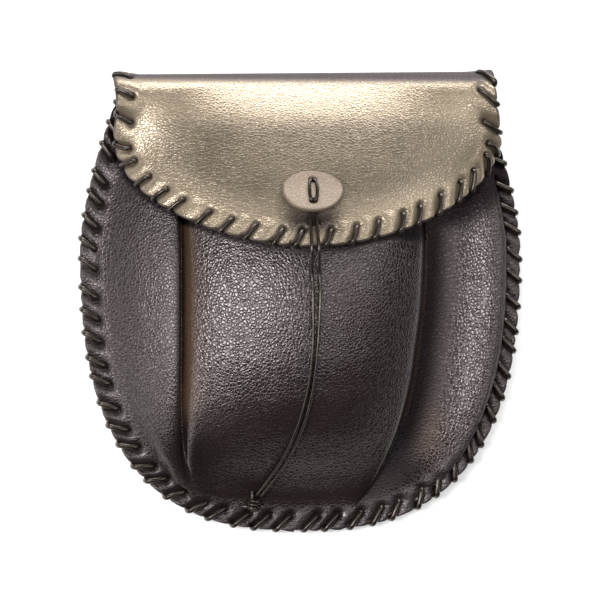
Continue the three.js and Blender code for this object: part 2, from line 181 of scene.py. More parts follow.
# More lift where the flap's edge is puffed up, over this stretch of Y
PUFF_ROOM = 0.4 * MM
PUFF_Y = (34.5 * MM, 28 * MM)
KNOT_TURNS = 2.6
KNOT_RADIUS = 1.6 * MM
KNOT_HALF_LENGTH = 1.8 * MM
KNOT_FLATNESS = 0.75
# The knot's tails and core, as points (along, across, up) from its middle in millimetres
KNOT_TAILS = (
    [(-0.5, -0.8, 0.4), (-2.4, -2.0, 1.1), (-4.4, -3.1, 0.9)],
    [(0.6, -0.6, 0.2), (1.6, -2.4, 0.3), (2.2, -4.2, -0.5)],
    [(-2.4, 0.0, 0.3), (0.0, 0.0, 0.4), (2.6, 0.2, -0.3)],
)


# Settings


def length_setting(name, about, default):
    """A length, in metres."""
    return FloatProperty(name=name, description=about, default=default, unit="LENGTH", precision=5)


def colour_setting(name, about, default):
    """A colour, as three linear values."""
    return FloatVectorProperty(name=name, description=about, default=default, subtype="COLOR", size=3)


def power_setting(name, about, default):
    """A light's power, in watts."""
    return FloatProperty(name=name, description=about, default=default, unit="POWER")


class PouchSizes(bpy.types.PropertyGroup):
    """Sizes of the lace, the cord and their spacing."""

    lace: length_setting("Body lace", "Diameter of the body's lacing", 2.2 * MM)
    flap_lace: length_setting("Flap lace", "Diameter of the flap's lacing", 1.8 * MM)
    cord: length_setting("Cord", "Diameter of the tie cord", 1.25 * MM)
    body_stitches: IntProperty(name="Body stitches", description="Stitches round the body seam", default=48)
    flap_stitches: IntProperty(name="Flap stitches", description="Stitches round the flap", default=26)
    body_holes: length_setting("Body holes", "Holes' distance from the body's edge", 5.4 * MM)
    flap_holes: length_setting("Flap holes", "Holes' distance from the flap's edge", 5.8 * MM)
    pucker: length_setting("Pucker", "Depth of the leather under a stitch", 0.9 * MM)


class PouchFinish(bpy.types.PropertyGroup):
    """Colours and grain of the leather and the lace."""

    body_colour: colour_setting("Body", "Dark leather", (0.024, 0.015, 0.0145))
    flap_colour: colour_setting("Flap", "Bronze leather", (0.255, 0.206, 0.146))
    toggle_colour: colour_setting("Toggle", "Tan leather", (0.32, 0.25, 0.175))
    flesh_colour: colour_setting("Flesh side", "Rough inner face", (0.06, 0.04, 0.032))
    lace_colour: colour_setting("Lace", "Dark waxed lace", (0.008, 0.0052, 0.004))
    grain: length_setting("Grain", "Width of one pebble of the grain", 1.25 * MM)


class PouchStage(bpy.types.PropertyGroup):
    """Camera and light."""

    camera_lean: FloatProperty(
        name="Camera lean", description="Camera's turn to the left", default=np.radians(7.0), subtype="ANGLE"
    )
    camera_distance: length_setting("Camera distance", "From the pouch", 1.7)
    view_width: length_setting("View width", "Width of the view at the seam", 0.228)
    key_power: power_setting("Key", "Power of the low strip beyond the fold", 18.0)
    softbox_power: power_setting("Softbox", "Power of the softbox on the left", 7.6)
    overhead_power: power_setting("Overhead", "Power of the light above the left", 2.0)
    fill_power: power_setting("Fill", "Power of the light above the right", 2.2)
    right_power: power_setting("Right", "Power of the light on the right", 2.4)
    left_power: power_setting("Left", "Power of the low light on the left", 2.2)
    sky: FloatProperty(name="Sky", description="Strength of the even light", default=0.03)
    floor_glow: FloatProperty(
        name="Floor glow", description="Light that the pale floor gives off itself", default=0.3
    )


# Curves and grids


def monotone(stations, values, at):
    """Monotone cubic through table rows: Hermite spans whose inner slopes are harmonic means."""
    order = np.argsort(stations)
    x = stations[order]
    v = values[order]
    step = np.diff(x)
    grade = np.diff(v) / step
    product = grade[:-1] * grade[1:]
    total = grade[:-1] + grade[1:]
    inner = np.where(product > 0, 2 * product / np.where(total == 0, 1, total), 0)
    slope = np.concatenate([grade[:1], inner, grade[-1:]])
    i = np.clip(np.searchsorted(x, at, side="right") - 1, 0, len(step) - 1)
    t = np.clip((at - x[i]) / step[i], 0, 1)
    rise = t * t * (3 - 2 * t)
    leave = t * (1 - t) ** 2 * step[i] * slope[i]
    arrive = t * t * (t - 1) * step[i] * slope[i + 1]
    return v[i] + (v[i + 1] - v[i]) * rise + leave + arrive


def through(points, count):
    """Uniform Catmull-Rom curve through points along axis -2, `count` samples evenly in its parameter."""
    spans = points.shape[-2] - 1
    t = np.linspace(0, spans, count)
    i = np.minimum(t.astype(int), spans - 1)
    t = (t - i)[:, None]
    p0 = points[..., np.maximum(i - 1, 0), :]
    p1 = points[..., i, :]
    p2 = points[..., i + 1, :]
    p3 = points[..., np.minimum(i + 2, spans), :]
    v0 = (p2 - p0) / 2
    v1 = (p3 - p1) / 2
    return (2 * p1 - 2 * p2 + v0 + v1) * t**3 + (3 * p2 - 3 * p1 - 2 * v0 - v1) * t**2 + v0 * t + p1


def smoothstep(x, low, high):
    """Cubic ease from 0 at low to 1 at high."""
    t = np.clip((x - low) / (high - low), 0, 1)
    return t * t * (3 - 2 * t)


def bell(distance, width, power=2):
    """1 at no distance, falling to 1/e at the width: the exponential of minus a power of their ratio."""
    return np.exp(-((distance / width) ** power))


def band(place, rise, fall):
    """1 between two eases: up over the `rise` pair and down over the `fall` pair."""
    return smoothstep(place, *rise) * (1 - smoothstep(place, *fall))


def edge_spread(count):
    """Places from -1 to 1 that close up at both ends: the mean of an even run and a sine."""
    even = np.linspace(-1, 1, count)
    return 0.5 * even + 0.5 * np.sin(np.pi / 2 * even)


def unit(vectors):
    """Vectors divided by their lengths."""
    return vectors / np.maximum(np.linalg.norm(vectors, axis=-1, keepdims=True), 1e-12)


def grid_normals(grid):
    """Unit normals of a grid: the cross product of its column and row directions."""
    return unit(np.cross(np.gradient(grid, axis=1), np.gradient(grid, axis=0)))


def arc_lengths(points):
    """Running length along a polyline."""
    return np.concatenate([[0], np.cumsum(np.linalg.norm(np.diff(points, axis=0), axis=1))])


def sampled(points, lengths, at):
    """Points of a polyline at given running lengths, coordinate by coordinate."""
    return np.stack([np.interp(at, lengths, points[:, k]) for k in range(points.shape[1])], -1)


def segment_distance(points, starts, ends):
    """Distance from each point to the nearest of many segments."""
    run = ends - starts
    length2 = np.maximum((run**2).sum(-1), 1e-12)
    best = np.full(len(points), np.inf)
    for start, way, square in zip(starts, run, length2):
        t = np.clip(((points - start) @ way) / square, 0, 1)
        best = np.minimum(best, np.linalg.norm(points - start - t[:, None] * way, axis=1))
    return best


def new_piece(name, vertices, faces, uv=None, attributes=None, smooth=True):
    """A mesh object at the origin from arrays: the vertices, and an array of faces for each corner count."""
    corners = np.concatenate([group.ravel() for group in faces]).astype(np.int32)
    counts = np.concatenate([np.full(len(group), group.shape[1]) for group in faces])
    mesh = bpy.data.meshes.new(name)
    mesh.vertices.add(len(vertices))
    mesh.vertices.foreach_set("co", vertices.astype(np.float32).ravel())
    mesh.loops.add(len(corners))
    mesh.loops.foreach_set("vertex_index", corners)
    mesh.polygons.add(len(counts))
    mesh.polygons.foreach_set("loop_start", (np.cumsum(counts) - counts).astype(np.int32))
    mesh.polygons.foreach_set("use_smooth", np.full(len(counts), smooth))
    mesh.update(calc_edges=True)
    if uv is not None:
        layer = mesh.uv_layers.new(name="Along")
        layer.data.foreach_set("uv", uv[corners].astype(np.float32).ravel())
    for key, values in (attributes or {}).items():
        layer = mesh.attributes.new(key, "FLOAT", "POINT")
        layer.data.foreach_set("value", values.astype(np.float32).ravel())
    piece = bpy.data.objects.new(name, mesh)
    bpy.context.scene.collection.objects.link(piece)
    return piece


def on_outer(**tones):
    """Tones of a wall's outer grid as attributes. Its inner grid is the flesh side and has none of them."""
    size = next(iter(tones.values())).size
    attributes = {name: np.concatenate([tone.ravel(), np.zeros(size)]) for name, tone in tones.items()}
    attributes["inside"] = np.repeat([0.0, 1.0], size)
    return attributes


def grid_faces(rows, columns, close=False):
    """Quads of a grid of rows and columns, joined across the last column when it closes."""
    i, j = np.meshgrid(np.arange(rows - 1), np.arange(columns if close else columns - 1), indexing="ij")
    k = (j + 1) % columns
    corners = [i * columns + j, i * columns + k, (i + 1) * columns + k, (i + 1) * columns + j]
    return np.stack(corners, -1).reshape(-1, 4)


def wall(outer, inner):
    """Vertices and quads of a closed wall: two facing grids and a strip of quads along their border."""
    rows, columns = outer.shape[:2]
    layer = rows * columns
    face = grid_faces(rows, columns)
    index = np.arange(layer).reshape(rows, columns)
    border = np.concatenate([index[0, :-1], index[:-1, -1], index[-1, :0:-1], index[:0:-1, 0]])
    after = np.roll(border, -1)
    strip = np.stack([after + layer, border + layer, border, after], -1)
    vertices = np.concatenate([outer.reshape(-1, 3), inner.reshape(-1, 3)])
    return vertices, [np.concatenate([face[:, ::-1], face + layer, strip])]


def tube(path, radius, guide, sides=12):
    """A round tube: circles across the path, turned by a guide direction, closed by a point at each end.

    Returns vertices, faces and a UV of length along the path and turn round it.
    """
    tangent = unit(np.gradient(path, axis=0))
    first = unit(guide - (guide * tangent).sum(-1, keepdims=True) * tangent)
    second = np.cross(tangent, first)
    angle = np.linspace(0, 2 * np.pi, sides, endpoint=False)
    radius = np.broadcast_to(np.asarray(radius, float), (len(path),))
    circle = np.cos(angle)[None, :, None] * first[:, None] + np.sin(angle)[None, :, None] * second[:, None]
    rings = path[:, None] + radius[:, None, None] * circle
    count = len(path)
    turn = np.arange(sides)
    nearer = (turn + 1) % sides
    last = (count - 1) * sides
    end = np.full(sides, count * sides)
    caps = [(nearer, turn, end), (turn + last, nearer + last, end + 1)]
    triangles = np.concatenate([np.stack(cap, -1) for cap in caps])
    vertices = np.concatenate([rings.reshape(-1, 3), path[:1], path[-1:]])
    uv = np.stack([np.repeat(arc_lengths(path), sides), np.tile(turn / sides, count)], -1)
    uv = np.concatenate([uv, uv[:1], uv[-1:]])
    return vertices, [grid_faces(count, sides, close=True), triangles], uv


def joined(parts):
    """Several (vertices, faces, uv) pieces as one, each one's corner numbers moved past the earlier ones."""
    counts = np.array([len(vertices) for vertices, _, _ in parts])
    starts = np.cumsum(counts) - counts
    moved = [[group + start for group in faces] for start, (_, faces, _) in zip(starts, parts)]
    faces = [np.concatenate(groups) for groups in zip(*moved)]
    return np.concatenate([part[0] for part in parts]), faces, np.concatenate([part[2] for part in parts])


# Outline and surfaces of the leather


def body_half_width(y):
    """Half a superellipse below the widest line, and a power taper above it."""
    down = np.clip((WIDEST_Y - y) / TOE_DEPTH, 0, 1)
    up = np.clip((y - WIDEST_Y) / (FOLD_TOP_Y - WIDEST_Y), 0, None)
    below = BODY_HALF_WIDTH * (1 - down**TOE_POWER) ** (1 / TOE_POWER)
    return np.where(y < WIDEST_Y, below, BODY_HALF_WIDTH - TOP_TAPER * up**TOP_TAPER_POWER)


def flap_half_width(y):
    """A straight taper above the turn, and half a superellipse below it."""
    above = (y - FLAP_TURN_Y) / (FOLD_Y - FLAP_TURN_Y)
    down = np.clip((FLAP_TURN_Y - y) / FLAP_DROP, 0, 1)
    below = FLAP_HALF_WIDTH * (1 - down**FLAP_POWER) ** (1 / FLAP_POWER)
    return np.where(y > FLAP_TURN_Y, FLAP_HALF_WIDTH + (FOLD_HALF_WIDTH - FLAP_HALF_WIDTH) * above, below)


def flap_shift(y):
    """How far the flap's middle stands to the right at y."""
    return monotone(FLAP_SHIFT["y"] * MM, FLAP_SHIFT["shift"] * MM, y)


def edge_inset(x, y, top, depth, half_width, power, straight):
    """First-order distance from a superellipse's edge, or from the straight sides above it."""
    across = np.abs(x) / half_width
    down = np.maximum(top - y, 0) / depth
    reach = np.maximum((across**power + down**power) ** (1 / power), 1e-6)
    slope_x = across ** (power - 1) / half_width * reach ** (1 - power)
    slope_y = down ** (power - 1) / depth * reach ** (1 - power)
    below = (1 - reach) / np.maximum(np.hypot(slope_x, slope_y), 1e-6)
    return np.where(y < top, below, straight - np.abs(x))


def body_inset(x, y):
    """Distance in from the body's edge."""
    return edge_inset(x, y, WIDEST_Y, TOE_DEPTH, BODY_HALF_WIDTH, TOE_POWER, body_half_width(y))


def flap_inset(x, y):
    """Distance in from the flap's edge."""
    across = x - flap_shift(y)
    return edge_inset(across, y, FLAP_TURN_Y, FLAP_DROP, FLAP_HALF_WIDTH, FLAP_POWER, flap_half_width(y))


def quarter_rows(top, depth, half_width, power, end, count):
    """Y of equal angle steps round a superellipse quarter, down to where it is `end` wide."""
    last = np.arccos((end / half_width) ** (power / 2))
    return top - depth * np.sin(np.linspace(0, last, count)) ** (2 / power)


def toe_rows(count):
    """Rows of the body below its widest line."""
    return quarter_rows(WIDEST_Y, TOE_DEPTH, BODY_HALF_WIDTH, TOE_POWER, TOE_END, count)


def section_column(name, y):
    """One column of the section table at y."""
    return monotone(SECTIONS["y"] * MM, SECTIONS[name] * MM, y)


def front_anchors(y):
    """Anchor points (x, height) of the front's outer section at each y, from left edge to right edge."""
    width = body_half_width(y)
    belly, crest, valley = (section_column(name, y) for name in ("belly", "crest", "valley"))
    seam = width - np.minimum(SEAM_LINE_INSET, SEAM_LINE_SHARE * width)

    def side(pleat, wing, hand):
        top = wing["crest"] * crest
        low = wing["valley"] * valley
        turn = width - np.minimum(wing["turn"], wing["turn_share"] * width)
        crest_x = np.minimum(pleat + wing["step"], wing["share"] * width)
        shrink = crest_x / (pleat + wing["step"])
        valley_x = crest_x - wing["step"] * shrink
        shoulder_x = valley_x - SHOULDER_STEP * shrink
        outside = [width, seam, turn, (turn + crest_x) / 2]
        x = outside + [crest_x, valley_x, shoulder_x, shoulder_x * QUARTER_SHARE]
        shoulder = low + (belly - low) * SHOULDER_RISE
        level = np.zeros_like(width)
        rim = [level, SEAM_LINE_RISE * top, wing["turn_rise"] * top, WING_RISE * top]
        z = rim + [top, low, shoulder, QUARTER_RISE * belly]
        return np.stack([hand * np.stack(x, -1), np.stack(z, -1)], -1)

    left = side(section_column("left_pleat", y), LEFT_WING, -1)
    right = side(section_column("right_pleat", y), RIGHT_WING, 1)
    middle = np.stack([np.zeros_like(belly), belly], -1)[:, None]
    return np.concatenate([left, middle, right[:, ::-1]], 1)


def inset_anchors(y):
    """The section moved inwards by the leather, along mitred normals, more where it is steep along Y."""
    anchors = front_anchors(y)
    half = 0.5 * MM
    steep = np.hypot(1, (front_anchors(y - half) - front_anchors(y + half))[..., 1] / (2 * half))
    ways = unit(np.diff(anchors, axis=1))
    before = np.concatenate([ways[:, :1], ways], 1)
    after = np.concatenate([ways, ways[:, -1:]], 1)
    total = before + after
    normal = unit(np.stack([-total[..., 1], total[..., 0]], -1))
    square = normal[..., 1] * before[..., 0] - normal[..., 0] * before[..., 1]
    mitre = 1 / np.maximum(square, 1 / MITRE_LIMIT)
    reach = np.minimum(mitre * np.minimum(steep, STEEP_LIMIT), STEEP_LIMIT)
    return anchors - normal * LEATHER * reach[..., None]


def section_surface(anchors, y, count):
    """Spline sections at each y as a grid of 3-D points."""
    flat = through(anchors, count)
    depth = np.broadcast_to(y[:, None], flat.shape[:2])
    return np.stack([flat[..., 0], depth, FRONT_RIM + flat[..., 1]], -1)


HEIGHT_COLUMNS = 321


def front_height(x, y):
    """Height of the front's outer face at places on its belly, from the section at each y."""
    section = section_surface(front_anchors(y), y, HEIGHT_COLUMNS)
    return np.array([np.interp(a, row[:, 0], row[:, 2]) for a, row in zip(x, section)])


def back_height(x, y):
    """Middle surface of the back: flat at the seam and eased up to the dish further in."""
    across = np.abs(x) / BODY_HALF_WIDTH
    down = np.maximum(WIDEST_Y - y, 0) / TOE_DEPTH
    below = (1 - (across**TOE_POWER + down**TOE_POWER) ** (1 / TOE_POWER)) * BODY_HALF_WIDTH
    inset = np.where(y < WIDEST_Y, below, body_half_width(y) - np.abs(x))
    return SHEET_RIM + DISH * smoothstep(np.minimum(inset, FOLD_Y - y), DISH_START, DISH_END)


def flap_height(x, y):
    """Middle surface of the flap: the fold's circle, then a slope that eases to its end value."""
    side = np.minimum(np.abs(x - flap_shift(y)) / FLAP_HALF_WIDTH, 1)
    angle = np.radians(FOLD_END_MIDDLE + (FOLD_END_SIDE - FOLD_END_MIDDLE) * side**FOLD_END_POWER)
    leave = FOLD_Y + FOLD_RADIUS * np.cos(angle)
    circle = FOLD_Z + np.sqrt(np.maximum(FOLD_RADIUS**2 - (y - FOLD_Y) ** 2, 0))
    end = FLAP_END_SLOPE - FLAP_SIDE_FALL * side**FLAP_SIDE_POWER
    run = np.maximum(leave - y, 0)
    eased = (1 / np.tan(angle) - end) * FLAP_EASE * (1 - np.exp(-run / FLAP_EASE))
    return np.where(y > leave, circle, FOLD_Z + FOLD_RADIUS * np.sin(angle) + end * run + eased)


def flap_top(x, y):
    """Outer face of the flap above a place, allowing for its slope along Y."""
    half = 0.5 * MM
    slope = (flap_height(x, y - half) - flap_height(x, y + half)) / (2 * half)
    return flap_height(x, y) + LEATHER / 2 * np.hypot(1, slope)


SHEET_ROWS = {"toe": 60, "upper": 26, "fold": 44, "flap": 30, "tip": 76}


def sheet_grid(columns):
    """Middle surface of back, fold and flap, row by row from the toe to the flap's tip."""
    spread = edge_spread(columns)
    upper = np.linspace(WIDEST_Y, FOLD_Y, SHEET_ROWS["upper"])[1:]
    back_y = np.concatenate([toe_rows(SHEET_ROWS["toe"])[::-1], upper])
    back_x = body_half_width(back_y)[:, None] * spread
    back_y = np.broadcast_to(back_y[:, None], back_x.shape)
    back = np.stack([back_x, back_y, back_height(back_x, back_y)], -1)
    degrees = np.linspace(-90, FOLD_END_MIDDLE, SHEET_ROWS["fold"])[1:]
    narrowing = smoothstep(degrees, -90, 0)
    fold_width = body_half_width(np.array(FOLD_Y)) * (1 - narrowing) + FOLD_HALF_WIDTH * narrowing
    lean = smoothstep(degrees, 0, FOLD_END_MIDDLE) * flap_shift(np.array(FLAP_SHIFT["y"].max() * MM))
    fold_x = lean[:, None] + fold_width[:, None] * spread
    turn = np.radians(degrees)[:, None]
    fold_y = FOLD_Y + FOLD_RADIUS * np.cos(turn)
    fold_z = FOLD_Z + FOLD_RADIUS * np.sin(turn)
    fold = np.stack(np.broadcast_arrays(fold_x, fold_y, fold_z), -1)
    start = FOLD_Y + FOLD_RADIUS * np.cos(np.radians(FOLD_END_MIDDLE))
    tip = quarter_rows(FLAP_TURN_Y, FLAP_DROP, FLAP_HALF_WIDTH, FLAP_POWER, FLAP_TIP, SHEET_ROWS["tip"])
    flap_y = np.concatenate([np.linspace(start, FLAP_TURN_Y, SHEET_ROWS["flap"])[1:], tip[1:]])
    flap_width = np.minimum(flap_half_width(flap_y), FLAP_HALF_WIDTH)
    flap_x = flap_shift(flap_y)[:, None] + flap_width[:, None] * spread
    flap_y = np.broadcast_to(flap_y[:, None], flap_x.shape)
    flap = np.stack([flap_x, flap_y, flap_height(flap_x, flap_y)], -1)
    grid = np.concatenate([back, fold, flap])
    near_fold = smoothstep(grid[..., 1], FLAP_TURN_Y, FOLD_TOP_Y)
    grid[..., 1] += FOLD_SKEW * grid[..., 0] * near_fold
    return grid, len(back), len(back) + len(fold)


# Lacing

# Rows past the start of the fold where the flap's lace begins, and how far the body's goes past the mouth
FLAP_LACE_ROW = 21
LACE_PAST_MOUTH = 3 * MM
# Place of the first hole, in pitches
FIRST_HOLE = 0.6
# Cut edge: how far in it is drawn, how the draw fades inwards and how wide it is at a crossing
SCALLOP_REACH = 6 * MM
SCALLOP_FADE = 2.6 * MM
SCALLOP_WIDTH = 1.7 * MM
# Leather at a stitch: widths of the groove, the dimple at the hole, the puff beside them and both creases
PRESS_WIDTH = 1.5 * MM
DIMPLE_WIDTH = 1.4 * MM
PUFF_WIDTH = 3.2 * MM
CREASE_WIDTH = 1.7 * MM
HOLE_CREASE_WIDTH = 1.9 * MM
PUCKER_REACH = 6 * MM
PUCKER_FADE = (4 * MM, -1 * MM)
PRESS_SHARE = 0.8
PUFF_SHARE = 0.9
EDGE_ROUND = 0.8 * MM


def body_edge():
    """Edge of the body from the mouth's left corner round the toe to its right corner, with its frame."""
    y = np.concatenate([np.linspace(MOUTH_Y + LACE_PAST_MOUTH, WIDEST_Y, 60), toe_rows(120)[1:]])
    left = np.stack([-body_half_width(y), y], -1)
    right = left[::-1] * [-1, 1]
    flat = np.concatenate([left, right])
    middle = (RIM_UNDERSIDE + FRONT_RIM) / 2
    points = np.concatenate([flat, np.full((len(flat), 1), middle)], 1)
    normal = np.broadcast_to([0.0, 0.0, 1.0], points.shape)
    return points, normal


def flap_edge():
    """Edge of the flap from the fold's left end round the tip to its right end, with its outward normals."""
    grid, fold_row, _ = sheet_grid(81)
    normal = -grid_normals(grid)
    first = fold_row + FLAP_LACE_ROW
    points = np.concatenate([grid[first:, 0], grid[first:, -1][::-1]])
    return points, np.concatenate([normal[first:, 0], normal[first:, -1][::-1]])


class Stitching:
    """Places of a whip stitch: where each stretch crosses the edge and where it enters its hole."""

    def __init__(self, edge, normal, count, inset, half_stack, lean):
        self.lengths = arc_lengths(edge)
        self.edge = edge
        self.normal = normal
        self.inward = -unit(np.cross(np.gradient(edge, axis=0), normal))
        self.count = count
        self.inset = inset
        self.half_stack = half_stack
        self.pitch = self.lengths[-1] / count
        order = np.arange(count)
        # Hand-made unevenness, in pitches
        waver = 0.09 * np.sin(2.4 * order + 0.7) + 0.05 * np.sin(5.1 * order)
        self.hole_at = (order + FIRST_HOLE + waver) * self.pitch
        places = np.linspace(0, self.lengths[-1], len(lean))
        self.over_at = self.hole_at - np.interp(self.hole_at, places, lean) * self.pitch
        self.under_at = np.append(self.over_at[1:], self.over_at[-1] + self.pitch)

    def place(self, at, depth, height):
        """Points `depth` in from the edge and `height` above the stack's middle, at lengths along it."""
        at = np.clip(at, 0, self.lengths[-1])
        base = sampled(self.edge, self.lengths, at)
        inward = unit(sampled(self.inward, self.lengths, at))
        normal = unit(sampled(self.normal, self.lengths, at))
        return base + inward * np.asarray(depth)[..., None] + normal * np.asarray(height)[..., None]

    def grooves(self, side):
        """Start at the edge and end at the hole of each stretch on the top (1) or the bottom (-1) face."""
        level = np.full(self.count, side * self.half_stack)
        start = self.place(self.over_at if side > 0 else self.under_at, np.zeros(self.count), level)
        return start, self.place(self.hole_at, np.full(self.count, self.inset), level)

    def scalloped(self, points, near_edge, depth):
        """Points with the cut edge drawn in where the lace crosses it and pushed out between crossings."""
        flat = points.reshape(-1, 3)
        margin = near_edge.ravel()
        close = np.flatnonzero(margin < SCALLOP_REACH)
        square = (self.edge**2).sum(1)[None] - 2 * flat[close] @ self.edge.T
        nearest = square.argmin(1)
        gap = np.abs(self.lengths[nearest][:, None] - self.over_at[None]).min(1)
        amount = depth * bell(margin[close], SCALLOP_FADE) * (0.5 - bell(gap, SCALLOP_WIDTH))
        moved = flat.copy()
        moved[close] -= self.inward[nearest] * amount[:, None]
        return moved.reshape(points.shape)

    def lace_path(self, radius):
        """The lace's middle line: over the edge, along the top to the hole, down, and back underneath."""
        top = self.half_stack
        hole = self.inset
        # Columns: shares of the ways from the hole to the crossings over and under, depth in, height
        round_trip = np.array(
            [
                (1.03, 0.0, -0.35 * radius, 0.0),
                (0.95, 0.0, -0.1 * radius, top + 0.2 * radius),
                (0.74, 0.0, 0.24 * hole, top + 0.6 * radius),
                (0.38, 0.0, 0.62 * hole, top + 0.65 * radius),
                (0.1, 0.0, 0.92 * hole, top + 0.25 * radius),
                (0.0, 0.0, hole, 0.0),
                (0.0, 0.08, 0.92 * hole, -top - 0.25 * radius),
                (0.0, 0.4, 0.6 * hole, -top - 0.65 * radius),
                (0.0, 0.75, 0.22 * hole, -top - 0.6 * radius),
                (0.0, 0.95, -0.1 * radius, -top - 0.2 * radius),
            ]
        )
        ways = np.stack([self.over_at - self.hole_at, self.under_at - self.hole_at], -1)
        at = (self.hole_at[:, None] + ways @ round_trip[:, :2].T).ravel()
        depth = np.tile(round_trip[:, 2], self.count)
        height = np.tile(round_trip[:, 3], self.count)
        keys = self.place(at, depth, height)
        path = through(keys, (len(keys) - 1) * 4 + 1)
        even = np.linspace(0, self.lengths[-1], len(path))
        along = np.gradient(sampled(self.edge, self.lengths, even), axis=0)
        return path, unit(along)


# How far each hole lies past its stitch's crossing of the edge, in pitches: at the start, middle and end
BODY_LEAN = (0.5, 0.6, 0.5)
FLAP_LEAN = (0.25, 0.3, 0.7)


def body_stitching(sizes):
    """Stitches that join the front's margin to the back's."""
    edge, normal = body_edge()
    half_stack = (FRONT_RIM - RIM_UNDERSIDE) / 2
    return Stitching(edge, normal, sizes.body_stitches, sizes.body_holes, half_stack, BODY_LEAN)


def flap_stitching(sizes):
    """Stitches that bind the flap's edge."""
    edge, normal = flap_edge()
    return Stitching(edge, normal, sizes.flap_stitches, sizes.flap_holes, LEATHER / 2, FLAP_LEAN)


def puckered(grid, normals, near_edge, stitching, depth, side=1):
    """The grid sunk in under each stitch, dimpled at each hole and puffed up between stitches.

    Also returns how far into a crease each point is, from 0 to 1.
    """
    flat = grid.reshape(-1, 3)
    margin = near_edge.ravel()
    close = margin < stitching.inset + PUCKER_REACH
    margin = margin[close]
    start, end = stitching.grooves(side)
    gap = segment_distance(flat[close], start, end)
    hole = segment_distance(flat[close], end, end)
    fade = smoothstep(margin, stitching.inset + PUCKER_FADE[0], stitching.inset + PUCKER_FADE[1])
    press = PRESS_SHARE * depth * bell(gap, PRESS_WIDTH)
    puff = PUFF_SHARE * depth * (1 - bell(gap, PUFF_WIDTH))
    move = np.zeros(len(flat))
    move[close] = fade * (puff - press) - depth * bell(hole, DIMPLE_WIDTH)
    crease = np.zeros(len(flat))
    crease[close] = np.maximum(bell(gap, CREASE_WIDTH), bell(hole, HOLE_CREASE_WIDTH))
    shape = grid.shape[:2]
    return grid + normals * move.reshape(shape)[..., None], crease.reshape(shape)


def edge_rounding(near_edge, radius):
    """How far a face drops towards the wall's middle to round its cut edge: a quarter circle."""
    t = np.clip(1 - near_edge / radius, 0, 1)
    return radius * (1 - np.sqrt(1 - t * t))


# Materials


class Nodes:
    """Short calls for building one material's node tree."""

    def __init__(self, name):
        self.material = bpy.data.materials.new(name)
        self.material.use_nodes = True
        self.tree = self.material.node_tree
        self.shader = self.tree.nodes["Principled BSDF"]

    def add(self, kind, inputs=None, **settings):
        """A node with its settings, its constant inputs and its links from other sockets."""
        node = self.tree.nodes.new(kind)
        for key, value in settings.items():
            setattr(node, key, value)
        for key, value in (inputs or {}).items():
            self.put(node.inputs[key], value)
        return node

    def put(self, socket, value):
        """Links a socket, or sets its constant."""
        if isinstance(value, bpy.types.NodeSocket):
            self.tree.links.new(value, socket)
        else:
            socket.default_value = value

    def shade(self, **inputs):
        """Sets the shader's own sockets, named with spaces as underscores."""
        for key, value in inputs.items():
            self.put(self.shader.inputs[key.replace("_", " ")], value)

    def ramp(self, factor, stops):
        """A colour ramp through (place, grey) stops."""
        node = self.add("ShaderNodeValToRGB", {"Fac": factor})
        node.color_ramp.elements.remove(node.color_ramp.elements[0])
        node.color_ramp.elements[0].position = stops[0][0]
        node.color_ramp.elements[0].color = (*[stops[0][1]] * 3, 1)
        for place, grey in stops[1:]:
            node.color_ramp.elements.new(place).color = (grey, grey, grey, 1)
        return node.outputs["Color"]

    def mix(self, factor, first, second):
        """Blend of two colours."""
        node = self.add("ShaderNodeMix", data_type="RGBA")
        self.put(node.inputs[0], factor)
        self.put(node.inputs[6], first)
        self.put(node.inputs[7], second)
        return node.outputs[2]

    def math(self, kind, first, second):
        """One sum on two values."""
        node = self.add("ShaderNodeMath", operation=kind)
        self.put(node.inputs[0], first)
        self.put(node.inputs[1], second)
        return node.outputs[0]

    def noise(self, place, scale, detail, output="Fac"):
        """Soft noise over a place."""
        inputs = {"Vector": place, "Scale": scale, "Detail": detail}
        return self.add("ShaderNodeTexNoise", inputs).outputs[output]

    def cells(self, place, scale, feature):
        """Distance in a pattern of cells, from each one's edge or its middle."""
        inputs = {"Vector": place, "Scale": scale}
        return self.add("ShaderNodeTexVoronoi", inputs, feature=feature).outputs["Distance"]

    def bump(self, height, strength, distance):
        """Bends the shader's normal by a height."""
        inputs = {"Height": height, "Strength": strength, "Distance": distance}
        self.shade(Normal=self.add("ShaderNodeBump", inputs).outputs["Normal"])

    def attribute(self, name):
        """A float stored on the mesh."""
        return self.add("ShaderNodeAttribute", attribute_name=name).outputs["Fac"]


def colour(values, gain=1.0):
    """An RGBA colour from three linear values."""
    return (*[min(1.0, gain * v) for v in values], 1.0)


def grain_height(nodes, width, stretch):
    """Pebbled grain: flat-topped cells of the given width with narrow furrows, finer cells and wrinkles.

    The cells are stretched along X.
    """
    object_place = nodes.add("ShaderNodeTexCoord").outputs["Object"]
    squeeze = {"Vector": object_place, "Scale": (1 / stretch, 1.0, 1.0)}
    place = nodes.add("ShaderNodeMapping", squeeze).outputs[0]
    wander = nodes.noise(place, 0.6 / width, 2.0, "Color")
    shifted = nodes.add(
        "ShaderNodeVectorMath", {0: wander, 1: (0.9 * width,) * 3, 2: place}, operation="MULTIPLY_ADD"
    ).outputs[0]
    cells = nodes.cells(shifted, 1 / width, "DISTANCE_TO_EDGE")
    pebble = nodes.ramp(cells, [(0.0, 0.0), (0.12, 0.5), (0.3, 0.9), (0.55, 1.0)])
    small = nodes.math("MULTIPLY", nodes.cells(shifted, 2.6 / width, "F1"), -0.08)
    rough = nodes.math("MULTIPLY", nodes.noise(place, 0.35 / width, 4.0), 0.5)
    total = nodes.math("ADD", nodes.math("ADD", pebble, small), rough)
    return total, pebble, object_place


# Colours the tones mix towards: a brown for the pleats' painted shade and warm reflection, and a dark for
# painted shade, painted shadow and the cut edges
WARM_BROWN = (0.15, 0.087, 0.048)
NEAR_BLACK = (0.008, 0.005, 0.006)
MOTTLE = 0.18
# Gain of the lighter bronze, from wear and from a painted highlight
RUBBED_AND_LIT_GAIN = 1.75
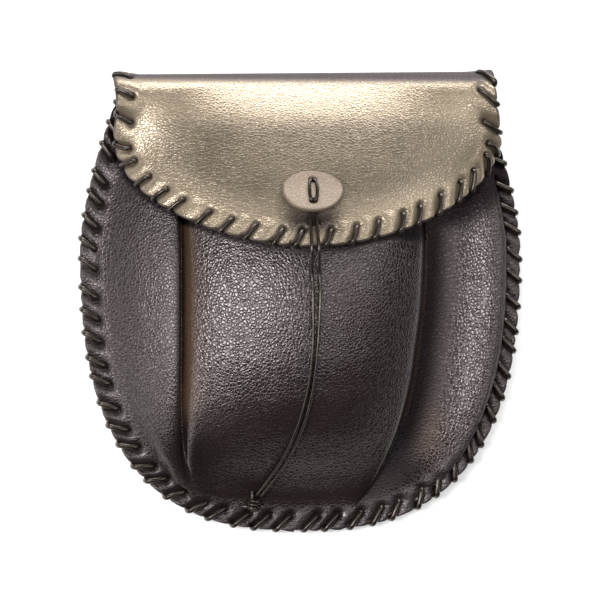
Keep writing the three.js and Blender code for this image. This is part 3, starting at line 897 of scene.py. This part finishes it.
# Scales of the clouds of tone and of the flesh side's nap, in turns a metre
CLOUD_SCALE = 38.0
SUEDE_SCALE = 900.0


def leather(name, face, flesh, grain, bump, rough, second=None, pearl=0.0, stretch=1.0):
    """Pebbled leather: mottled colour, darker between pebbles, glossy on them, rough and pale inside.

    Attributes of the mesh pick the tone: "inside" the flesh side, "second" a second face colour, "worn"
    where that colour is lighter from wear and from a painted highlight, "warm" a brown that in the pleats is
    painted shade and warm reflection, "dark" a dull dark that is the cut edges' own and painted shade in
    creases, pits, pleats and on the fold, "pressed" a smooth dark of painted shade and "deep" a gloss-free
    painted shadow.
    """
    nodes = Nodes(name)
    height, pebble, place = grain_height(nodes, grain, stretch)
    cloud = nodes.noise(place, CLOUD_SCALE, 5.0)
    blotch = nodes.ramp(cloud, [(0.3, 0.0), (0.7, 1.0)])
    dark, pressed, deep, inside = (nodes.attribute(key) for key in ("dark", "pressed", "deep", "inside"))

    def blotched(tone):
        return nodes.mix(blotch, colour(tone, 1 - MOTTLE), colour(tone, 1 + MOTTLE))

    base = blotched(face)
    gloss = nodes.math("ADD", nodes.math("MULTIPLY", pebble, -0.18), nodes.math("MULTIPLY", cloud, 0.12))
    gloss = nodes.math("ADD", gloss, nodes.math("MULTIPLY", dark, 0.15))
    gloss = nodes.math("ADD", gloss, nodes.math("MULTIPLY", pressed, -0.06))
    outside_rough = nodes.math("ADD", gloss, rough)
    # The painted shadow turns metallic over its dark colour, so that it loses its gloss as a shadow does
    metal = nodes.math("MULTIPLY", deep, 0.85)
    if second is not None:
        bronze = nodes.attribute("second")
        # Lighter bronze: wear near the flap's edge, and a painted highlight band below the fold
        rubbed_and_lit = nodes.mix(nodes.attribute("worn"), blotched(second), colour(second, RUBBED_AND_LIT_GAIN))
        base = nodes.mix(bronze, base, rubbed_and_lit)
        dull = nodes.math("MULTIPLY", nodes.math("SUBTRACT", 1.0, bronze), 0.25)
        outside_rough = nodes.math("ADD", outside_rough, dull)
        metal = nodes.math("MULTIPLY", bronze, pearl)
    # Brown: painted shade and warm reflection in the pleats, a browner upper half on the toggle
    base = nodes.mix(nodes.attribute("warm"), base, nodes.mix(0.7, base, colour(WARM_BROWN)))
    furrow = nodes.mix(0.45, base, colour((0, 0, 0)))
    base = nodes.mix(nodes.math("MULTIPLY", pebble, 0.55), furrow, base)
    # Dull dark (the cut edges' own tone, and painted shade) and smooth dark (painted shade)
    base = nodes.mix(nodes.math("MAXIMUM", dark, pressed), base, nodes.mix(0.75, base, colour(NEAR_BLACK)))
    # Painted shadow, darker still and without gloss
    base = nodes.mix(deep, base, nodes.mix(0.85, base, colour(NEAR_BLACK)))
    suede = nodes.noise(place, SUEDE_SCALE, 6.0)
    nodes.shade(Base_Color=nodes.mix(inside, base, nodes.mix(suede, colour(flesh, 0.7), colour(flesh, 1.2))))
    nodes.shade(Roughness=nodes.math("MAXIMUM", outside_rough, nodes.math("MULTIPLY", inside, 0.9)))
    nodes.shade(Specular_IOR_Level=0.8, Specular_Tint=(1.0, 0.88, 0.89, 1.0), Metallic=metal)
    flatter = nodes.math("SUBTRACT", 1.0, nodes.math("MULTIPLY", pressed, 0.75))
    nodes.bump(nodes.math("MULTIPLY", height, flatter), 1.0, bump)
    return nodes.material


def lace_material(name, tone):
    """Waxed lace: dark, with fine streaks along it from the tube's UV and a soft shine."""
    nodes = Nodes(name)
    uv = nodes.add("ShaderNodeUVMap", uv_map="Along").outputs["UV"]
    stretched = nodes.add("ShaderNodeMapping", {"Vector": uv, "Scale": (260.0, 9.0, 1.0)}).outputs[0]
    streak = nodes.noise(stretched, 1.0, 5.0)
    nodes.shade(Base_Color=nodes.mix(streak, colour(tone, 0.6), colour(tone, 1.9)))
    nodes.shade(Roughness=nodes.math("ADD", nodes.math("MULTIPLY", streak, 0.22), 0.17))
    nodes.shade(Specular_IOR_Level=0.65, Specular_Tint=(1.0, 0.88, 0.78, 1.0))
    nodes.bump(streak, 0.7, 0.12 * MM)
    return nodes.material


MATERIALS = ("body_leather", "flap_leather", "toggle_leather", "lace")


def finish_of(context):
    """The materials, made once from the finish settings."""
    finish = context.scene.pouch_finish
    if "pouch_lace" not in bpy.data.materials:
        body, flesh, grain = finish.body_colour, finish.flesh_colour, finish.grain
        bronze = dict(second=finish.flap_colour, pearl=0.55, stretch=1.4)
        leather("pouch_body_leather", body, flesh, grain, 0.085 * MM, 0.29)
        leather("pouch_flap_leather", body, flesh, 0.8 * grain, 0.06 * MM, 0.33, **bronze)
        leather("pouch_toggle_leather", finish.toggle_colour, flesh, 0.6 * grain, 0.11 * MM, 0.42)
        lace_material("pouch_lace", finish.lace_colour)
    return {key: bpy.data.materials["pouch_" + key] for key in MATERIALS}


def dress(piece, context, material, nodes):
    """Gives a piece its material and body, and hides the solids it replaces."""
    piece.data.materials.append(finish_of(context)[material])
    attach(piece, BODY)
    if nodes:
        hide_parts(*nodes)
    return piece


# Operators, one for each piece or group of like pieces

AIM = Vector((-0.7 * MM, 1.8 * MM, FRONT_RIM))
SENSOR_WIDTH = 36.0
CLIP_END = 20.0
FLOOR_REACH = 4.0
# Place and size of each soft light
LIGHTS = {
    "key": ((0.06, 0.98, 0.37), (1.3, 0.28)),
    "softbox": ((-0.6, -0.02, 0.92), (0.3, 0.4)),
    "overhead": ((-0.28, 0.0, 1.07), (0.35, 0.35)),
    "fill": ((0.35, 0.0, 1.05), (0.4, 0.4)),
    "right": ((0.7, 0.3, 0.75), (0.5, 0.5)),
    "left": ((-0.85, -0.35, 0.42), (0.5, 0.5)),
}


class POUCH_OT_stage(bpy.types.Operator):
    """Adds the camera over the pouch, the pale floor and the soft lights"""

    bl_idname = "pouch.stage"
    bl_label = "Stage"

    def execute(self, context):
        stage = context.scene.pouch_stage
        scene = context.scene
        scene.view_settings.view_transform = "Standard"
        camera = bpy.data.cameras.new("camera")
        camera.sensor_width = SENSOR_WIDTH
        camera.lens = camera.sensor_width * stage.camera_distance / stage.view_width
        camera.clip_end = CLIP_END
        holder = bpy.data.objects.new("camera", camera)
        away = Vector((-np.sin(stage.camera_lean), 0.0, np.cos(stage.camera_lean)))
        right = Vector((np.cos(stage.camera_lean), 0.0, np.sin(stage.camera_lean)))
        up = away.cross(right)
        turn = Matrix((right, up, away)).transposed().to_4x4()
        holder.matrix_world = Matrix.Translation(AIM + away * stage.camera_distance) @ turn
        scene.collection.objects.link(holder)
        scene.camera = holder
        self.floor(context)
        for name, (place, size) in LIGHTS.items():
            self.light(context, name, place, size, getattr(stage, name + "_power"))
        world = bpy.data.worlds.new("even_light")
        world.use_nodes = True
        even = world.node_tree.nodes["Background"]
        even.inputs["Color"].default_value = (1.0, 0.99, 0.97, 1.0)
        even.inputs["Strength"].default_value = stage.sky
        scene.world = world
        return {"FINISHED"}

    def floor(self, context):
        """A wide pale plane at the height the pouch lies on."""
        corners = FLOOR_REACH * np.array([[-1, -1, 0], [1, -1, 0], [1, 1, 0], [-1, 1, 0]], float)
        floor = new_piece("floor", corners, [np.arange(4)[None]], smooth=False)
        nodes = Nodes("floor_paper")
        speck = nodes.noise(nodes.add("ShaderNodeTexCoord").outputs["Object"], 7.5, 3.0)
        nodes.shade(Base_Color=nodes.mix(speck, (0.9, 0.9, 0.89, 1), (0.93, 0.93, 0.92, 1)))
        glow = context.scene.pouch_stage.floor_glow
        nodes.shade(Roughness=0.9, Emission_Color=(1.0, 1.0, 1.0, 1.0), Emission_Strength=glow)
        floor.data.materials.append(nodes.material)

    def light(self, context, name, place, size, power):
        """A rectangular soft light that faces the pouch."""
        lamp = bpy.data.lights.new(name, "AREA")
        lamp.shape = "RECTANGLE"
        lamp.size, lamp.size_y = size
        lamp.energy = power
        holder = bpy.data.objects.new(name, lamp)
        holder.location = place
        holder.rotation_euler = (Vector(place) - AIM).to_track_quat("Z", "Y").to_euler()
        holder.visible_camera = False
        context.scene.collection.objects.link(holder)


def cord_path(strand):
    """A strand's middle line: on the flap, over its edge and down the belly, clear of what it lies on."""
    sizes = bpy.context.scene.pouch_sizes
    x = CORD_ROUTE[strand] * MM
    y = CORD_ROUTE["y"] * MM
    half = 0.5 * MM
    over_flap = y > FLAP_TURN_Y - FLAP_DROP - CORD_PAST_FLAP
    slope = (front_height(x, y - half) - front_height(x, y + half)) / (2 * half)
    lift = sizes.cord / 2 + CORD_LIFT
    on_flap = flap_top(x, y) + lift + PUFF_ROOM * smoothstep(y, *PUFF_Y)
    z = np.where(over_flap, on_flap, front_height(x, y) + lift * np.hypot(1, slope))
    keys = np.stack([x, y, z], -1)
    return through(keys, 8 * (len(keys) - 1) + 1)


class POUCH_OT_tie_cord(bpy.types.Operator):
    """Adds the two strands of the tie cord and the knot at their end"""

    bl_idname = "pouch.tie_cord"
    bl_label = "Tie Cord"

    def execute(self, context):
        sizes = context.scene.pouch_sizes
        knot = self.knot(context)
        up = np.array([0.0, 0.0, 1.0])
        for hand in ("left", "right"):
            path = cord_path(hand)
            name = "tie_cord_" + hand
            vertices, faces, uv = tube(path, sizes.cord / 2, np.broadcast_to(up, path.shape))
            piece = new_piece(name + "_strand", vertices, faces, uv)
            dress(piece, context, "lace", [name])
        return {"FINISHED"}

    def knot(self, context):
        """A knot of three wraps round the strands' line, with cut tails."""
        sizes = context.scene.pouch_sizes
        radius = sizes.cord / 2
        low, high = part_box("tie_knot")
        middle = np.array((low + high) / 2) + [0, 0, 2 * PUFF_ROOM]
        ends = [cord_path(hand)[-1] for hand in ("left", "right")]
        entry = np.mean(ends, axis=0)
        axis = unit(middle - entry)
        up = np.array([0.0, 0.0, 1.0])
        across = unit(np.cross(up, axis))
        lift = np.cross(axis, across)
        turn = np.linspace(0, 2 * np.pi * KNOT_TURNS, 90)
        swell = KNOT_RADIUS * (1 + 0.12 * np.sin(turn * 0.7))
        wraps = (
            middle
            + axis * np.linspace(-KNOT_HALF_LENGTH, KNOT_HALF_LENGTH, 90)[:, None]
            + across * (swell * np.cos(turn))[:, None]
            + lift * (KNOT_FLATNESS * swell * np.sin(turn))[:, None]
        )
        parts = [tube(wraps, radius * 1.3, np.broadcast_to(axis, wraps.shape))]
        for tail in KNOT_TAILS:
            along, aside, above = (np.array(tail) * MM).T[..., None]
            path = through(middle + axis * along + across * aside + lift * above, 25)
            parts.append(tube(path, radius * 1.1, np.broadcast_to(up + 0.3 * across, path.shape)))
        vertices, faces, uv = joined(parts)
        piece = new_piece("tie_knot_wraps", vertices, faces, uv)
        return dress(piece, context, "lace", ["tie_knot"])


ANCHOR_SPANS = 16
FRONT_COLUMNS = 14 * ANCHOR_SPANS + 1
WING_SAG = 1.5 * MM
SAG_ANCHOR = 11
FULLEST_Y = 5 * MM
# Bands of tone across the front, in anchors from its left edge: rise, fall and strength. Most are painted
# shade, warm reflection and shadow in and beside the pleats.
BANDS = {
    "left_warm_shade": ((4.0, 4.6), (5.6, 6.4), 1.0),
    "right_warm_reflection": ((9.9, 10.6), (11.0, 11.6), 0.7),
    "left_wing_shade": ((1.2, 2.0), (4.2, 4.8), 0.65),
    "left_crest_shade": ((2.8, 3.7), (4.3, 4.8), 0.8),
    "right_pleat_shade": ((10.8, 11.05), (11.15, 11.6), 1.3),
    "right_flank_shade": ((9.3, 10.3), (10.8, 11.0), 1.0),
    "right_pleat_shadow": ((10.85, 11.0), (11.12, 11.45), 1.0),
}
# Oval spots of tone, in millimetres: middle and reach. A painted warm glint low on the right, painted shade
# in both feet.
SPOTS = {
    "right_warm_reflection": ((46, -47), (6, 9)),
    "left_foot_shade": ((-46, -57), (11, 12)),
    "right_foot_shade": ((40, -64), (10, 9)),
}
# Eases of tone along Y or in from an edge, in millimetres
EASES = {
    "brown": (-48, -36),
    "wing_shade": (-15, 20),
    "crest_shade": (-45, -15),
    "pleat_shadow": (-72, -45),
    "cut_edge": (0.3, 1.4),
    "margin": (6, 11),
}
# Painted shadow under the flap's edge: its reach, the share of it that is full, and in millimetres how much
# wider it gets between two places along X
FLAP_SHADOW_REACH = 2.5 * MM
FLAP_SHADOW_FULL = 0.45
FLAP_SHADOW_WIDER = ((8, 28, 46), (6, 52, 68))


def ease(name, at):
    """A named ease at a place."""
    low, high = EASES[name]
    return smoothstep(at, low * MM, high * MM)


def spot(name, x, y):
    """A named soft oval: a bell across it times a bell along it."""
    (place_x, place_y), (reach_x, reach_y) = SPOTS[name]
    return bell(x - place_x * MM, reach_x * MM) * bell(y - place_y * MM, reach_y * MM)


def front_tones(x, y):
    """Tones of the front's outer face, from bands across it, ovals and its distance from both edges.

    "warm" is brown in the pleats: painted shade and warm reflection, and a painted glint low on the right.
    "dark" is dull, on the cut edge and the margin, and painted shade on the upper left wing, along the left
    crest and beside the right pleat. "pressed" is smooth painted shade, on that pleat's flank and in both
    feet. "deep" is painted shadow, on its floor and under the flap's edge, wider towards the right.
    """
    anchor = np.broadcast_to(np.linspace(0, ANCHOR_SPANS, FRONT_COLUMNS), x.shape)
    across = {name: strength * band(anchor, rise, fall) for name, (rise, fall, strength) in BANDS.items()}
    inset = body_inset(x, y)
    # Brown in the pleats: painted shade and warm reflection
    brown = (across["left_warm_shade"] + across["right_warm_reflection"]) * ease("brown", y)
    # Painted shadow under the flap's edge, reaching further towards the right
    wider = [amount * MM * smoothstep(x, low * MM, high * MM) for amount, low, high in FLAP_SHADOW_WIDER]
    reach = FLAP_SHADOW_REACH + sum(wider)
    flap_shadow = smoothstep(flap_inset(x, y), -reach, -FLAP_SHADOW_FULL * reach)
    # Painted shadow on the right pleat's floor and under the flap
    deep = np.maximum(across["right_pleat_shadow"] * ease("pleat_shadow", y), flap_shadow)
    # Dull dark: the cut edge and the margin, and painted shade on the left wing, its crest and beside the
    # right pleat
    dull = [
        1 - ease("cut_edge", inset),
        0.7 - 0.7 * ease("margin", inset),
        across["left_wing_shade"] * ease("wing_shade", y),
        across["left_crest_shade"] * ease("crest_shade", y),
        across["right_pleat_shade"],
        deep,
    ]
    # Smooth dark, painted shade: the right pleat's flank and both feet
    smooth = [across["right_flank_shade"], spot("left_foot_shade", x, y), spot("right_foot_shade", x, y)]
    return {
        "warm": np.clip(brown + spot("right_warm_reflection", x, y), 0, 1),
        "dark": np.maximum.reduce(dull),
        "pressed": np.maximum.reduce(smooth),
        "deep": deep,
    }


class POUCH_OT_front_panel(bpy.types.Operator):
    """Adds the pleated front, with its seam margin puckered by the lacing"""

    bl_idname = "pouch.front_panel"
    bl_label = "Front Panel"

    def execute(self, context):
        sizes = context.scene.pouch_sizes
        y = np.concatenate([np.linspace(MOUTH_Y, WIDEST_Y, 56), toe_rows(126)[1:]])
        outer = section_surface(front_anchors(y), y, FRONT_COLUMNS)
        inner = section_surface(inset_anchors(y), y, FRONT_COLUMNS)
        sag = self.sag(y)
        outer[..., 2] -= sag
        inner[..., 2] -= sag
        inset = body_inset(outer[..., 0], outer[..., 1])
        stitching = body_stitching(sizes)
        outer, crease = puckered(outer, -grid_normals(outer), inset, stitching, sizes.pucker)
        drop = edge_rounding(np.maximum(inset, 0), EDGE_ROUND)
        outer[..., 2] -= drop
        inner[..., 2] += drop
        outer = stitching.scalloped(outer, inset, sizes.pucker)
        inner = stitching.scalloped(inner, inset, sizes.pucker)
        tones = front_tones(outer[..., 0], outer[..., 1])
        # Painted shade in the creases along the stitches
        tones["dark"] = np.maximum(tones["dark"], 0.7 * crease)
        piece = new_piece("front_panel_leather", *wall(outer, inner), attributes=on_outer(**tones))
        dress(piece, context, "body_leather", ["front_panel"])
        return {"FINISHED"}

    def sag(self, y):
        """How far the right wing hangs below its section: a squared sine from the pleat to the crest."""
        across = np.clip(np.linspace(0, ANCHOR_SPANS, FRONT_COLUMNS) - SAG_ANCHOR, 0, 1)
        share = section_column("crest", y) / section_column("crest", np.array(FULLEST_Y))
        return WING_SAG * share[:, None] * np.sin(np.pi * across) ** 2


# Tones of the flap along Y: where the bronze ends at the fold, leaving the fold's top in painted shade, the
# fold's painted shade and the painted highlight band below it
BRONZE_END_Y = (85.2 * MM, 82.0 * MM)
FOLD_SHADE_Y = (83.4 * MM, 86.0 * MM)
HIGHLIGHT_BAND_Y = (64 * MM, 78 * MM)
# Lighter bronze near the flap's edge: wear and a painted highlight
RUBBED_AND_LIT_EDGE = (7 * MM, 20 * MM)
CUT_EDGE = (0.3 * MM, 1.2 * MM)
# Painted shadow of the disc on the flap: middle and reach
DISC_SHADOW_Y = 30.5 * MM
DISC_SHADOW_REACH = (10.5 * MM, 4.8 * MM)


class POUCH_OT_back_and_flap(bpy.types.Operator):
    """Adds the one sheet of leather that is the back, the fold and the flap"""

    bl_idname = "pouch.back_and_flap"
    bl_label = "Back and Flap"

    def execute(self, context):
        sizes = context.scene.pouch_sizes
        grid, fold_row, flap_row = sheet_grid(161)
        normals = grid_normals(grid)
        outer = grid - normals * LEATHER / 2
        inner = grid + normals * LEATHER / 2
        row = np.arange(len(grid))[:, None]
        x, y = grid[..., 0], grid[..., 1]
        side = np.abs(grid[:, -1:, 0]) - np.abs(x)
        inset = np.where(row < fold_row, body_inset(x, y), np.where(row < flap_row, side, flap_inset(x, y)))
        flap_part = row >= fold_row
        z_high = grid[..., 2] > FOLD_Z
        far = np.full_like(inset, 1.0)
        margin = np.where(flap_part, inset, far)
        seam = np.where(flap_part, far, inset)
        flap_lace = flap_stitching(sizes)
        body_lace = body_stitching(sizes)
        outer, crease = puckered(outer, -normals, margin, flap_lace, sizes.pucker)
        outer, seam_crease = puckered(outer, -normals, seam, body_lace, 0.6 * sizes.pucker, side=-1)
        crease = np.maximum(crease, seam_crease)
        drop = edge_rounding(np.maximum(inset, 0), EDGE_ROUND)[..., None]
        outer = outer + normals * drop
        inner = inner - normals * drop
        for lace, edge in ((flap_lace, margin), (body_lace, seam)):
            outer = lace.scalloped(outer, edge, sizes.pucker)
            inner = lace.scalloped(inner, edge, sizes.pucker)
        # Dull dark: the cut edge's own tone, and painted shade in the stitch creases and on the fold's top
        dull = [1 - smoothstep(inset, *CUT_EDGE), 0.6 * crease, 0.95 * smoothstep(y, *FOLD_SHADE_Y)]
        # Lighter bronze: wear and painted highlight near the edge, and a painted highlight band below the
        # fold
        rubbed_and_lit = np.maximum(1 - smoothstep(inset, *RUBBED_AND_LIT_EDGE), 1.5 * smoothstep(y, *HIGHLIGHT_BAND_Y))
        # Painted shadow of the disc
        disc_shadow = bell(x, DISC_SHADOW_REACH[0], 4) * bell(y - DISC_SHADOW_Y, DISC_SHADOW_REACH[1], 4)
        attributes = on_outer(
            # Bronze up to the fold; the fold's top keeps the dark colour as painted shade
            second=flap_part * z_high * smoothstep(y, *BRONZE_END_Y),
            dark=np.maximum.reduce(dull),
            worn=flap_part * rubbed_and_lit,
            deep=flap_part * disc_shadow,
        )
        piece = new_piece("back_and_flap_leather", *wall(outer, inner), attributes=attributes)
        dress(piece, context, "flap_leather", ["back_and_flap"])
        return {"FINISHED"}


class POUCH_OT_lacing(bpy.types.Operator):
    """Winds the whip stitch round the body seam and the flap"""

    bl_idname = "pouch.lacing"
    bl_label = "Lacing"

    def execute(self, context):
        sizes = context.scene.pouch_sizes
        for name, stitching in (("body", body_stitching(sizes)), ("flap", flap_stitching(sizes))):
            radius = (sizes.lace if name == "body" else sizes.flap_lace) / 2
            path, along = stitching.lace_path(radius)
            vertices, faces, uv = tube(path, radius, along)
            piece = new_piece(name + "_whip_stitch", vertices, faces, uv)
            dress(piece, context, "lace", [name + "_lacing"])
        return {"FINISHED"}


def disc_place(points):
    """Points of the disc's own plane, tilted about X and set on the flap."""
    upper = DISC_HEIGHT / 2 * np.sin(DISC_TILT) + DISC_THICK / 2 * np.cos(DISC_TILT)
    seat = flap_top(np.array(0.0), np.array(DISC_Y + DISC_HEIGHT / 2 * np.cos(DISC_TILT)))
    middle = np.array([0.0, DISC_Y, float(seat) + upper + SEAM_GAP])
    cos, sin = np.cos(DISC_TILT), np.sin(DISC_TILT)
    turn = np.array([[1, 0, 0], [0, cos, sin], [0, -sin, cos]])
    return points @ turn.T + middle


class POUCH_OT_toggle(bpy.types.Operator):
    """Adds the oval toggle disc and the two strands sewn over it"""

    bl_idname = "pouch.toggle"
    bl_label = "Toggle"

    def execute(self, context):
        sizes = context.scene.pouch_sizes
        self.disc(context)
        radius = sizes.cord / 2
        face = DISC_THICK / 2 + radius * 0.7
        under = -DISC_THICK / 2
        hole = DISC_HOLE
        for hand, x in (("left", -STRAND_SPACING), ("right", STRAND_SPACING)):
            name = "toggle_stitch_" + hand
            keys = np.array(
                [
                    (0.4 * x, -hole, under - 0.8 * MM),
                    (0.4 * x, -hole, 0),
                    (0.5 * x, -0.95 * hole, face - 0.3 * MM),
                    (0.9 * x, -0.6 * hole, face),
                    (1.05 * x, 0, face + 0.12 * MM),
                    (0.9 * x, 0.6 * hole, face),
                    (0.5 * x, 0.95 * hole, face - 0.3 * MM),
                    (0.4 * x, hole, 0),
                    (0.4 * x, hole, under - 0.4 * MM),
                ]
            )
            path = disc_place(through(keys, 57))
            vertices, faces, uv = tube(path, radius, np.broadcast_to([1.0, 0.0, 0.0], path.shape))
            dress(new_piece(name + "_strand", vertices, faces, uv), context, "lace", [name])
        return {"FINISHED"}

    def disc(self, context):
        """Polar grid over the oval: a flat face, a rounded rim and a flat back, pitted at both holes."""
        turns = 128
        rings = 35
        steps = 13
        half = DISC_THICK / 2
        rim = np.linspace(np.pi / 2, -np.pi / 2, steps)
        angle = np.linspace(0, 2 * np.pi, turns, endpoint=False)
        face_reach = np.linspace(0.0, 1.0, rings + 1)[1:]
        # Profile: share of the way to the rim, bulge of the rim and height as a share of half the thickness
        flat_in = np.concatenate([face_reach, np.ones(steps), face_reach[::-1]])[:, None]
        bulge = np.concatenate([np.zeros(rings), np.cos(rim), np.zeros(rings)])[:, None]
        level = np.concatenate([np.ones(rings), np.sin(rim), -np.ones(rings)])[:, None]
        wave = 1 + 0.012 * np.sin(3 * angle + 0.6) + 0.008 * np.sin(5 * angle)
        x = ((DISC_WIDTH / 2 - DISC_ROUND) * flat_in + DISC_ROUND * bulge) * np.cos(angle) * wave
        y = ((DISC_HEIGHT / 2 - DISC_ROUND) * flat_in + DISC_ROUND * bulge) * np.sin(angle) * wave
        gap = np.hypot(np.maximum(np.abs(x) - PIT_HALF_LENGTH, 0), np.abs(y) - DISC_HOLE)
        pit = bell(gap, PIT_WIDTH, 4)
        z = half * level * (1 - PIT_DEPTH * pit)
        points = np.stack([x, y, z], -1).reshape(-1, 3)
        ring = np.arange(turns)
        after = (ring + 1) % turns
        last = (len(flat_in) - 1) * turns
        middle = np.full(turns, len(points))
        caps = [(ring, after, middle), (after + last, ring + last, middle + 1)]
        triangles = np.concatenate([np.stack(cap, -1) for cap in caps])
        faces = [grid_faces(len(flat_in), turns, close=True)[:, ::-1], triangles]
        vertices = disc_place(np.concatenate([points, [[0, 0, half], [0, 0, -half]]]))
        # Painted shade in the pits at both holes, the rim's darker cut edge, and a browner upper half
        tones = {"dark": np.maximum(pit, 0.55 * bulge), "warm": 0.45 * smoothstep(y, *DISC_BROWN_Y)}
        attributes = {name: np.append(tone.ravel(), [0, 0]) for name, tone in tones.items()}
        piece = new_piece("toggle_disc_leather", vertices, faces, attributes=attributes)
        dress(piece, context, "toggle_leather", ["toggle_disc"])


LOOP_TAB = 10 * MM
LOOP_LEG = 4 * MM
LOOP_ROUND = 0.7 * MM
LOOP_SOFTENING = 9


class POUCH_OT_belt_loop(bpy.types.Operator):
    """Adds the strap on the back, with rounded bends and sewn tabs"""

    bl_idname = "pouch.belt_loop"
    bl_label = "Belt Loop"

    def execute(self, context):
        tab_z = LOOP_HIGH.z - LEATHER / 2
        low_z = LEATHER / 2
        end = LOOP_HIGH.y
        width = LOOP_HIGH.x
        inner = end - LOOP_TAB
        # Middle line of the strap, its height by the distance from its middle, with softened bends
        y = np.linspace(end, -end, 121)
        z = np.interp(np.abs(y), [0, inner - LOOP_LEG, inner, end], [low_z, low_z, tab_z, tab_z])
        kernel = np.hanning(LOOP_SOFTENING)
        z = np.convolve(np.pad(z, LOOP_SOFTENING // 2, mode="edge"), kernel / kernel.sum(), mode="valid")
        x = width * edge_spread(61)
        grid = np.stack(np.broadcast_arrays(x[None, :], y[:, None], z[:, None]), -1).copy()
        normals = grid_normals(grid)
        inset = np.minimum(width - np.abs(grid[..., 0]), end - np.abs(grid[..., 1]))
        reach = (LEATHER / 2 - edge_rounding(inset, LOOP_ROUND))[..., None]
        edge = np.tile((1 - smoothstep(inset, *CUT_EDGE)).ravel(), 2)
        shape = wall(grid - normals * reach, grid + normals * reach)
        piece = new_piece("belt_loop_strap", *shape, attributes={"dark": edge})
        dress(piece, context, "body_leather", ["belt_loop"])
        return {"FINISHED"}


class POUCH_PT_panel(bpy.types.Panel):
    """Lists the pouch's settings and the buttons that build it"""

    bl_label = "Sporran Pouch"
    bl_idname = "POUCH_PT_panel"
    bl_space_type = "VIEW_3D"
    bl_region_type = "UI"
    bl_category = "Pouch"

    def draw(self, context):
        for group in (context.scene.pouch_sizes, context.scene.pouch_finish, context.scene.pouch_stage):
            box = self.layout.box()
            for name in group.__annotations__:
                box.prop(group, name)
        for operator in OPERATORS:
            self.layout.operator(operator.bl_idname)


OPERATORS = (
    POUCH_OT_stage,
    POUCH_OT_tie_cord,
    POUCH_OT_front_panel,
    POUCH_OT_back_and_flap,
    POUCH_OT_lacing,
    POUCH_OT_toggle,
    POUCH_OT_belt_loop,
)
SETTINGS = {"pouch_sizes": PouchSizes, "pouch_finish": PouchFinish, "pouch_stage": PouchStage}


def register():
    """Registers the classes and hangs the settings on the scene."""
    for cls in (*SETTINGS.values(), *OPERATORS, POUCH_PT_panel):
        bpy.utils.register_class(cls)
    for name, cls in SETTINGS.items():
        setattr(bpy.types.Scene, name, PointerProperty(type=cls))


def unregister():
    """Takes the settings and the classes away again."""
    for name in SETTINGS:
        delattr(bpy.types.Scene, name)
    for cls in reversed((*SETTINGS.values(), *OPERATORS, POUCH_PT_panel)):
        bpy.utils.unregister_class(cls)


def main():
    """Builds every piece in order."""
    register()
    bpy.ops.pouch.stage()
    bpy.ops.pouch.tie_cord()
    bpy.ops.pouch.front_panel()
    bpy.ops.pouch.back_and_flap()
    bpy.ops.pouch.lacing()
    bpy.ops.pouch.toggle()
    bpy.ops.pouch.belt_loop()


if __name__ == "__main__":
    main()
